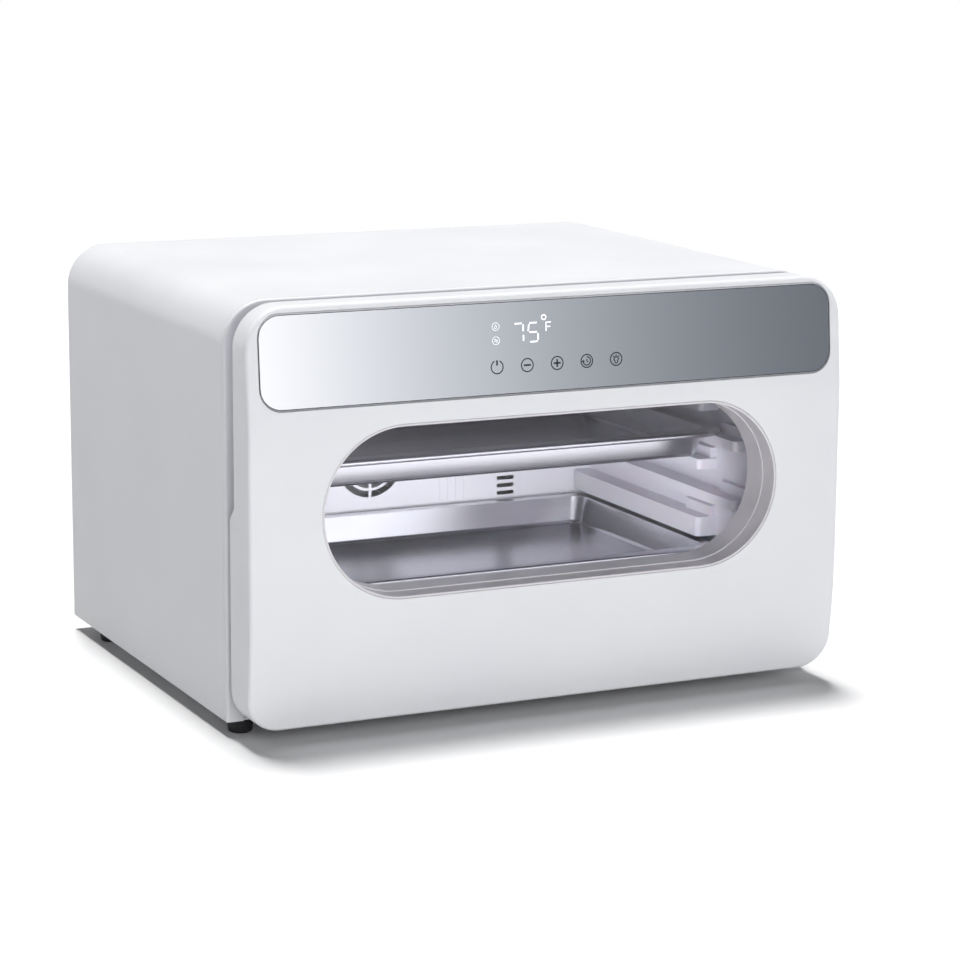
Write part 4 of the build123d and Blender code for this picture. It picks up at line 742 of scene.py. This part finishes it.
def loose_parts(node):
    """The separate solids of a node, each as a list of corner points."""
    shape = merged_shape(node)
    seen = set()
    parts = []
    for first in shape.verts:
        if first in seen:
            continue
        seen.add(first)
        reached = [first]
        for corner in reached:
            for edge in corner.link_edges:
                other = edge.other_vert(corner)
                if other not in seen:
                    seen.add(other)
                    reached.append(other)
        parts.append([corner.co.copy() for corner in reached])
    shape.free()
    return parts


def measure_turned(corners, axis):
    """The middle of a turned solid, and its corners' steps along the axis and reach away from it."""
    middle = sum(corners, Vector()) / len(corners)
    along = [(corner - middle).dot(axis) for corner in corners]
    away = [((corner - middle) - axis * step).length for corner, step in zip(corners, along)]
    return middle, along, away


def measure_screw(corners, axis):
    """Where the head starts, and the sizes of head and shank; the axis points out of the head."""
    middle, along, away = measure_turned(corners, axis)
    widest, thinnest = max(away), min(away)
    head_steps = [step for step, far in zip(along, away) if far > widest - SAME_RADIUS]
    shank_steps = [step for step, far in zip(along, away) if far < thinnest + SAME_RADIUS]
    sunk = max(head_steps) - min(head_steps) < THIN_EDGE
    start = max(shank_steps) if sunk else min(head_steps)
    return middle + axis * start, {
        "Head_Radius": widest,
        "Head_Height": max(head_steps) - start,
        "Shank_Radius": thinnest,
        "Shank_Length": start - min(along),
        "Under_Radius": thinnest if sunk else widest,
        "Top_Radius": widest if sunk else TOP_SHARE * widest,
    }


def head_direction(node, corners):
    """The screws of the guides stand on both walls and point to the middle."""
    to_middle = Vector((-1 if corners[0].x > 0 else 1, 0, 0))
    return HEAD_DIRECTION.get(node, to_middle)


print(sum(len(loose_parts(node)) for node in SCREW_NODES), "screws in the solids")

# %% [markdown]
# One run of the tree makes all the screws of a node that point the same way, so a node whose screws
# stand on two walls becomes two pieces.

# %% Screws
for node in SCREW_NODES:
    places = {}
    for corners in loose_parts(node):
        axis = head_direction(node, corners)
        place, sizes = measure_screw(corners, axis)
        places.setdefault(tuple(axis), []).append(place)
    for number, (axis, spots) in enumerate(sorted(places.items())):
        name = node + ("_finished" if number == 0 else "_finished_%d" % number)
        mesh = grow(
            screw_tree, name, spots, Axis=axis, Recess_Width=RECESS_SHARE * sizes["Head_Radius"],
            Finish=materials[slot_of[node]], **sizes,
        )
        link_piece(name, mesh, body_of[node], slot_of[node], node)
    print(node, sum(len(spots) for spots in places.values()), "screws, sizes in mm",
          {title: round(value / MM, 2) for title, value in sizes.items()})

# %% [markdown]
# Behind each touch field a spring of steel wire stands between the board and the panel. The solid of
# a spring is a plain sleeve; here it is wound, as a spiral with the same height and width.

# %% Touch springs
POINTS_PER_TURN = 16
WIRE_SIDES = 6
WIRE_RADIUS = 0.3 * MM
spring_tree, entry = new_tree(
    "wound_springs",
    [
        ("Axis", VECTOR, (0, 0, 1)),
        ("Coil Radius", NUMBER, 3.0 * MM),
        ("Coil Height", NUMBER, 7.0 * MM),
        ("Turns", NUMBER, 4.0),
        ("Wire Radius", NUMBER, WIRE_RADIUS),
        ("Finish", MATERIAL, None),
    ],
)
coil = add_node(
    spring_tree, "GeometryNodeCurveSpiral",
    Resolution=POINTS_PER_TURN, Rotations=entry["Turns"], Start_Radius=entry["Coil Radius"],
    End_Radius=entry["Coil Radius"], Height=entry["Coil Height"],
)
wire = add_node(
    spring_tree, "GeometryNodeCurvePrimitiveCircle", Resolution=WIRE_SIDES, Radius=entry["Wire Radius"]
)
coil = add_node(spring_tree, "GeometryNodeCurveToMesh", Curve=coil, Profile_Curve=wire, Fill_Caps=True)
turn = add_node(spring_tree, "FunctionNodeAlignRotationToVector", {"axis": "Z"}, Vector=entry["Axis"])
springs = add_node(
    spring_tree, "GeometryNodeInstanceOnPoints", Points=entry["Geometry"], Instance=coil, Rotation=turn
)
close_tree(spring_tree, springs, entry["Finish"])

spots = []
for corners in loose_parts("touch_springs"):
    middle, along, away = measure_turned(corners, board_up)
    spots.append(middle + board_up * (min(along) + WIRE_RADIUS))
    spring_height, spring_radius = max(along) - min(along), max(away)
mesh = grow(
    spring_tree, "touch_springs_finished", spots,
    Axis=tuple(board_up), Coil_Radius=spring_radius - WIRE_RADIUS,
    Coil_Height=spring_height - 2 * WIRE_RADIUS, Wire_Radius=WIRE_RADIUS,
    Finish=materials[slot_of["touch_springs"]],
)
spring_slot = slot_of["touch_springs"]
link_piece("touch_springs_finished", mesh, body_of["touch_springs"], spring_slot, "touch_springs")
print(len(spots), "springs", round(spring_height / MM, 2), "mm high")

# %% [markdown]
# The touch fields are printed on the panel as fine dark rings with a sign in each, and the display
# shines through it: two digits, a degree mark with a letter, and two small round signs. All of them are
# lines in the plane of the panel, drawn in millimetres from its centre, to the right and up. A tree
# gives the lines a width and a hair of thickness, which is closed geometry that an image could not be.

# %% Tree for printed lines
ARC_STEP = 12
FEWEST_STEPS = 4
stroke_tree, entry = new_tree(
    "printed_lines",
    [
        ("Line Width", NUMBER, 0.6 * MM),
        ("Ink Thickness", NUMBER, 0.04 * MM),
        ("Lean", VECTOR, (0, 0, 0)),
        ("Place", VECTOR, (0, 0, 0)),
        ("Finish", MATERIAL, None),
    ],
)
curve = add_node(stroke_tree, "GeometryNodeMeshToCurve", Mesh=entry["Geometry"])
curve = add_node(stroke_tree, "GeometryNodeSetCurveNormal", {"mode": "Z_UP"}, Curve=curve)
profile = add_node(
    stroke_tree, "GeometryNodeCurvePrimitiveQuadrilateral", {"mode": "RECTANGLE"},
    Width=entry["Line Width"], Height=entry["Ink Thickness"],
)
band = add_node(stroke_tree, "GeometryNodeCurveToMesh", Curve=curve, Profile_Curve=profile, Fill_Caps=True)
band = add_node(
    stroke_tree, "GeometryNodeTransform",
    Geometry=band, Translation=entry["Place"], Rotation=entry["Lean"],
)
close_tree(stroke_tree, band, entry["Finish"])


def arc(across, rise, radius, start, stop):
    """Points along an arc; its angles are counted in degrees from the right, anticlockwise."""
    steps = max(FEWEST_STEPS, round(abs(stop - start) / ARC_STEP))
    angles = [radians(start + (stop - start) * step / steps) for step in range(steps + 1)]
    return [(across + radius * cos(angle), rise + radius * sin(angle)) for angle in angles]


def ring_at(across, rise, radius):
    return arc(across, rise, radius, 0, 360)


# %% [markdown]
# The panel leans back a little, so its plane is read from its solid: the largest face that looks to
# the front gives the direction out of the panel, and the corners in that plane give its centre.

# %% Face of the panel
FACES_FRONT = -0.9
IN_PLANE = 0.01 * MM
panel_mesh = frame["nodes"]["control_panel"].data
front_faces = [face for face in panel_mesh.polygons if face.normal.y < FACES_FRONT]
panel_face = max(front_faces, key=lambda face: face.area)
panel_out = panel_face.normal.copy()
panel_up = panel_out.cross(Vector((1, 0, 0)))
on_face = panel_mesh.vertices[panel_face.vertices[0]].co
front = [v.co for v in panel_mesh.vertices if abs((v.co - on_face).dot(panel_out)) < IN_PLANE]
panel_rise = [corner.dot(panel_up) for corner in front]
panel_place = panel_up * (max(panel_rise) + min(panel_rise)) / 2 + panel_out * on_face.dot(panel_out)
panel_lean = (atan2(panel_up.z, panel_up.y), 0.0, 0.0)
print("panel face at", [round(value, 4) for value in panel_place], "lean", round(panel_lean[0], 3))

# %% [markdown]
# Five fields stand in a row at one pitch: power, less, more, timer and lamp. The power ring is open
# at its top, where its bar stands. Corners of a sign are counted from the centre of its field.

# %% Lines of the touch fields
FIELD_PITCH, FIELD_RISE, FIELD_RADIUS = 26.5, -14.6, 5.2
SIGN_REACH, POWER_GAP = 3.1, 25
TIMER_RADIUS, BULB_RADIUS = 3.3, 1.9
power, minus, plus, timer, lamp = [(number - 2) * FIELD_PITCH for number in range(5)]


def at_field(across, *corners):
    return [(across + to_right, FIELD_RISE + to_top) for to_right, to_top in corners]


field_rings = [ring_at(across, FIELD_RISE, FIELD_RADIUS) for across in (minus, plus, timer, lamp)]
field_rings.append(arc(power, FIELD_RISE, FIELD_RADIUS, 90 + POWER_GAP, 450 - POWER_GAP))
field_bars = [
    at_field(power, (0, 5.4), (0, 1.3)),
    at_field(minus, (-SIGN_REACH, 0), (SIGN_REACH, 0)),
    at_field(plus, (-SIGN_REACH, 0), (SIGN_REACH, 0)),
    at_field(plus, (0, -SIGN_REACH), (0, SIGN_REACH)),
]
turning_arrow = [
    arc(timer, FIELD_RISE, TIMER_RADIUS, 180, 450),
    at_field(timer, (-4.3, -0.7), (-3.3, 0.6), (-2.1, -0.5)),
]
clock_hands = at_field(timer, (0, 1.7), (0, 0), (1.3, -0.9))
bulb = [
    arc(lamp, FIELD_RISE, BULB_RADIUS, -55, 235),
    at_field(lamp, (-1.1, -1.6), (-0.9, -3.2), (0.9, -3.2), (1.1, -1.6)),
]
rays = [
    at_field(lamp, (0, 2.6), (0, 3.7)),
    at_field(lamp, (-1.9, 1.8), (-2.7, 2.6)),
    at_field(lamp, (1.9, 1.8), (2.7, 2.6)),
]
field_marks = turning_arrow + [clock_hands] + bulb + rays
print(len(field_rings), "fields at a pitch of", FIELD_PITCH, "mm")

# %% [markdown]
# The display shows seven-segment digits. Each lit segment is a line, and between two of them a small
# gap is left, as in the real module. Beside the digits stand a degree mark with a letter and, to the
# left, two signs in rings: a drop for damp air and two waves for moving air.

# %% Lines of the display
DIGIT_TOP, DIGIT_MIDDLE, DIGIT_FOOT = 18.65, 11.3, 3.7
seven = [
    [(-36.7, DIGIT_TOP), (-30.2, DIGIT_TOP)],
    [(-29.2, 17.7), (-29.2, 12.4)],
    [(-29.15, 9.5), (-29.15, 4.8)],
]
five = [
    [(-23.6, DIGIT_TOP), (-17.2, DIGIT_TOP)],
    [(-24.2, 17.6), (-24.8, 12.3)],
    [(-23.8, DIGIT_MIDDLE), (-17.1, DIGIT_MIDDLE)],
    [(-16.2, 10.0), (-16.2, 4.7)],
    [(-23.4, DIGIT_FOOT), (-16.9, DIGIT_FOOT)],
]
degree = ring_at(-10.9, 22.5, 1.9)
letter = [[(-9.0, 11.4), (-9.0, 18.4), (-4.6, 18.4)], [(-9.0, 14.95), (-5.2, 14.95)]]

STATUS_ACROSS, STATUS_RADIUS = -53.3, 3.1
DAMP_RISE, AIR_RISE = 17.3, 6.25
WAVE = 0.7
drop_tip = (STATUS_ACROSS, DAMP_RISE + 1.7)
drop = [drop_tip] + arc(STATUS_ACROSS, DAMP_RISE - 0.5, 1.0, 145, 395) + [drop_tip]
waves = [
    arc(STATUS_ACROSS - WAVE, AIR_RISE + shift, WAVE, 180, 0)
    + arc(STATUS_ACROSS + WAVE, AIR_RISE + shift, WAVE, 180, 360)
    for shift in (-WAVE, WAVE)
]
status_rings = [ring_at(STATUS_ACROSS, rise, STATUS_RADIUS) for rise in (DAMP_RISE, AIR_RISE)]
print(len(seven + five), "lit segments")

# %% [markdown]
# A thin dark line follows the edge of the panel, where it sits in its pocket. It has round corners
# like the panel's own, a little inside its outline.

# %% Line along the edge of the panel
PANEL_CORNER, BORDER_INSET = 18.0, 0.3
half_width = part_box("control_panel")[1].x / MM - PANEL_CORNER
half_height = (max(panel_rise) - min(panel_rise)) / 2 / MM - PANEL_CORNER
border_corner = PANEL_CORNER - BORDER_INSET
border = []
for quarter, (side, level) in enumerate(((1, 1), (-1, 1), (-1, -1), (1, -1))):
    turn = 90 * quarter
    border += arc(side * half_width, level * half_height, border_corner, turn, turn + 90)
border.append(border[0])
print("the border has", len(border) - 1, "corners")

# %% [markdown]
# Now each set of lines gets its width and becomes one piece on the door. The record has no slot for
# ink or light: the ink goes by the slot of another dark plastic, and the light by the display's.

# %% Print the lines
SAME_POINT = 0.001
INK, LIT = "inlet_plastic", "display_plastic"


def draw(name, lines, width, material):
    """Lines as one mesh in the face of the panel; a line that ends where it starts is closed."""
    points, edges = [], []
    for line in lines:
        closed = (Vector(line[0]) - Vector(line[-1])).length < SAME_POINT
        corners = line[:-1] if closed else line
        start = len(points)
        points += [(across * MM, rise * MM, 0) for across, rise in corners]
        edges += [(start + step, start + step + 1) for step in range(len(corners) - 1)]
        if closed:
            edges.append((start + len(corners) - 1, start))
    return grow(
        stroke_tree, name, points, edges, Line_Width=width * MM, Lean=panel_lean, Place=panel_place,
        Finish=materials[material],
    )


for name, lines, width, slot, material in (
    ("touch_rings", field_rings, 0.95, INK, "touch_ink"),
    ("touch_bars", field_bars, 1.45, INK, "touch_ink"),
    ("touch_marks", field_marks, 0.95, INK, "touch_ink"),
    ("panel_edge", [border], 0.55, INK, "touch_ink"),
    ("lit_digits", seven + five, 1.15, LIT, "display_light"),
    ("lit_unit", [degree] + letter, 0.85, LIT, "display_light"),
    ("lit_signs", status_rings + [drop] + waves, 0.3, LIT, "display_light"),
):
    link_piece(name, draw(name, lines, width, material), body_of["control_panel"], slot)
    print(name, len(lines), "lines", width, "mm wide")

# %% [markdown]
# The studio starts with a large white floor that fades out of sight. It throws light back onto the
# sides. Its paper is darker for that light than for the camera, or the lower edges of the cabinet
# would glow.

# %% Floor
FLOOR_RADIUS = 3.0
FLOOR_SIDES = 96
PAPER_SEEN = (0.92, 0.92, 0.92, 1)
PAPER_LIT = (0.59, 0.59, 0.595, 1)
PAPER_ROUGHNESS, PAPER_SHINE = 0.9, 0.1
shape = bmesh.new()
bmesh.ops.create_circle(shape, cap_ends=True, radius=FLOOR_RADIUS, segments=FLOOR_SIDES)
floor_mesh = bpy.data.meshes.new("studio_floor")
shape.to_mesh(floor_mesh)
shape.free()
floor = bpy.data.objects.new("studio_floor", floor_mesh)
bpy.context.scene.collection.objects.link(floor)
floor_paint = bpy.data.materials.new("studio_floor")
floor_paint.use_nodes = True
paint_tree = floor_paint.node_tree
shader = paint_tree.nodes["Principled BSDF"]
shader.inputs["Roughness"].default_value = PAPER_ROUGHNESS
shader.inputs["Specular IOR Level"].default_value = PAPER_SHINE
seen = paint_tree.nodes.new("ShaderNodeLightPath").outputs["Is Camera Ray"]
feed(paint_tree, shader.inputs["Base Color"], add_mix(paint_tree, seen, PAPER_LIT, PAPER_SEEN))
floor_mesh.materials.append(floor_paint)
print("floor", FLOOR_RADIUS, "m")

# %% [markdown]
# The key light is above and a little behind, so the top is the brightest side and a short soft shadow
# falls to the front. A sun lamp with a wide angle lights the whole floor evenly, where a softbox would
# leave its far end grey.

# %% Key light
KEY_FROM = Vector((0.01, 0.205, 0.97))
KEY_STRENGTH = 3.75
KEY_SPREAD = radians(15)
key = bpy.data.lights.new("key_light", "SUN")
key.energy = KEY_STRENGTH
key.angle = KEY_SPREAD
key_object = bpy.data.objects.new("key_light", key)
key_object.rotation_euler = KEY_FROM.to_track_quat("Z", "Y").to_euler()
bpy.context.scene.collection.objects.link(key_object)
print("key light", KEY_STRENGTH)

# %% [markdown]
# A dome of light surrounds the studio. Its tree starts from the direction that a ray leaves in. The
# height is the upward part of that direction, and the heading is its level part, counted in degrees
# from the front to the right.


# %% Directions of the dome
world = bpy.data.worlds.new("studio_dome")
bpy.context.scene.world = world
world.use_nodes = True
dome = world.node_tree
dome.nodes.clear()
direction = dome.nodes.new("ShaderNodeTexCoord").outputs["Generated"]
split = dome.nodes.new("ShaderNodeSeparateXYZ")
feed(dome, split.inputs["Vector"], direction)
height = split.outputs["Z"]
heading = add_vector_math(dome, "NORMALIZE", add_vector_math(dome, "MULTIPLY", direction, (1, 1, 0)))


def facing(degrees):
    """How far a direction of the dome, made level, faces a heading: one where it does."""
    target = (sin(radians(degrees)), -cos(radians(degrees)), 0)
    return add_vector_math(dome, "DOT_PRODUCT", heading, target)


print("dome", len(dome.nodes), "nodes so far")

# %% [markdown]
# The dome is almost dark, with a broad soft patch in front that fills the door. The control panel
# mirrors what stands at the horizon, to the front right of the object, so the dome has a thin band
# there that goes from bright to dark as it turns to the right. The camera itself sees plain white
# behind the object.

# %% Light of the dome
AMBIENT = 0.02
FILL, FILL_HEADING, FILL_TOP = 1.7, 18.0, 0.8
FILL_EDGE, FILL_FULL = 0.2, 0.8
HORIZON_TOP, HORIZON_FULL = 0.13, 0.09
HORIZON_DARK, HORIZON_LIGHT, HORIZON_CURVE = 0.18, 0.93, 1.45
DARK_HEADING, DARK_UP_TO, BRIGHT_FROM = 48.0, 0.965, 0.89
WHITE_TINT, BLUE_TINT = (0.965, 0.975, 1.0, 1), (0.78, 0.87, 1.0, 1)

fill_turn = add_range(dome, facing(FILL_HEADING), FILL_EDGE, FILL_FULL, "SMOOTHSTEP")
fill_rise = add_range(dome, height, FILL_TOP, HORIZON_TOP, "SMOOTHSTEP")
fill = add_math(dome, "MULTIPLY", add_math(dome, "MULTIPLY", fill_turn, fill_rise), FILL)
above = add_math(dome, "ADD", fill, AMBIENT)

bright = add_range(dome, facing(DARK_HEADING), DARK_UP_TO, BRIGHT_FROM)
horizon = add_math(dome, "MULTIPLY", add_math(dome, "POWER", bright, HORIZON_CURVE), HORIZON_LIGHT)
horizon = add_math(dome, "ADD", horizon, HORIZON_DARK)
flatness = add_math(dome, "ABSOLUTE", height)
at_horizon = add_range(dome, flatness, HORIZON_TOP, HORIZON_FULL, "SMOOTHSTEP")
strength = add_mix(dome, at_horizon, above, horizon, "Float")

dark = add_math(dome, "MULTIPLY", at_horizon, add_math(dome, "SUBTRACT", 1.0, bright))
soft = dome.nodes.new("ShaderNodeBackground")
feed(dome, soft.inputs["Color"], add_mix(dome, dark, WHITE_TINT, BLUE_TINT))
feed(dome, soft.inputs["Strength"], strength)
backdrop = dome.nodes.new("ShaderNodeBackground")
backdrop.inputs["Color"].default_value = (1, 1, 1, 1)
seen = dome.nodes.new("ShaderNodeLightPath").outputs["Is Camera Ray"]
choice = add_shader_mix(dome, seen, soft.outputs["Background"], backdrop.outputs["Background"])
dome.links.new(choice, dome.nodes.new("ShaderNodeOutputWorld").inputs["Surface"])
print("dome", len(dome.nodes), "nodes")

# %% [markdown]
# The chamber is lit through the window. A soft area light just inside the frame stands for that light:
# it finds the rear wall and the pans with far less noise than rays that bend through the dish. The
# pans would mirror it as one bright sheet, so it has no reflection. Two thin lamps are seen only in
# reflections: one draws the bright band along the walls of the pans, the other lights their rims.

# %% Lamps of the chamber
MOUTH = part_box("front_frame")[1].y + 4 * MM
CHAMBER_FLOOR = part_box("lower_pan")[0].z
VIOLET_WHITE = (0.985, 0.98, 1.0)
FILL_SPREAD = radians(140)


def soft_lamp(name, place, size, height, power, colour=(1, 1, 1)):
    """An area light that faces the rear."""
    lamp_data = bpy.data.lights.new(name, "AREA")
    lamp_data.shape = "RECTANGLE"
    lamp_data.size = size
    lamp_data.size_y = height
    lamp_data.energy = power
    lamp_data.color = colour
    lamp_object = bpy.data.objects.new(name, lamp_data)
    lamp_object.location = place
    lamp_object.rotation_euler = (radians(90), 0, 0)
    bpy.context.scene.collection.objects.link(lamp_object)
    print(name, power, "W")
    return lamp_object


chamber_fill = soft_lamp(
    "chamber_fill", (0, MOUTH, CHAMBER_FLOOR + 0.06), 0.3, 0.07, power=0.58, colour=VIOLET_WHITE
)
chamber_fill.data.spread = FILL_SPREAD
chamber_fill.visible_glossy = False
for name, rise, size, height, power in (
    ("chamber_sheen", 0.068, 0.42, 0.026, 0.068),
    ("rim_sheen", 0.115, 0.42, 0.016, 0.055),
):
    sheen = soft_lamp(name, (0, MOUTH + MM, CHAMBER_FLOOR + rise), size, height, power)
    sheen.visible_diffuse = False

# %% [markdown]
# The lower part of the door gets less light, because the floor in front of it lies in its own shadow.
# A wide lamp close to the floor lights it almost level, so the floor itself stays as it is. It has no
# reflection, or the mirror panel would show it.

# %% Low fill
low_fill = soft_lamp("low_fill", (-0.2, -1.45, 0.12), 0.9, 0.22, power=2.8)
low_fill.visible_glossy = False
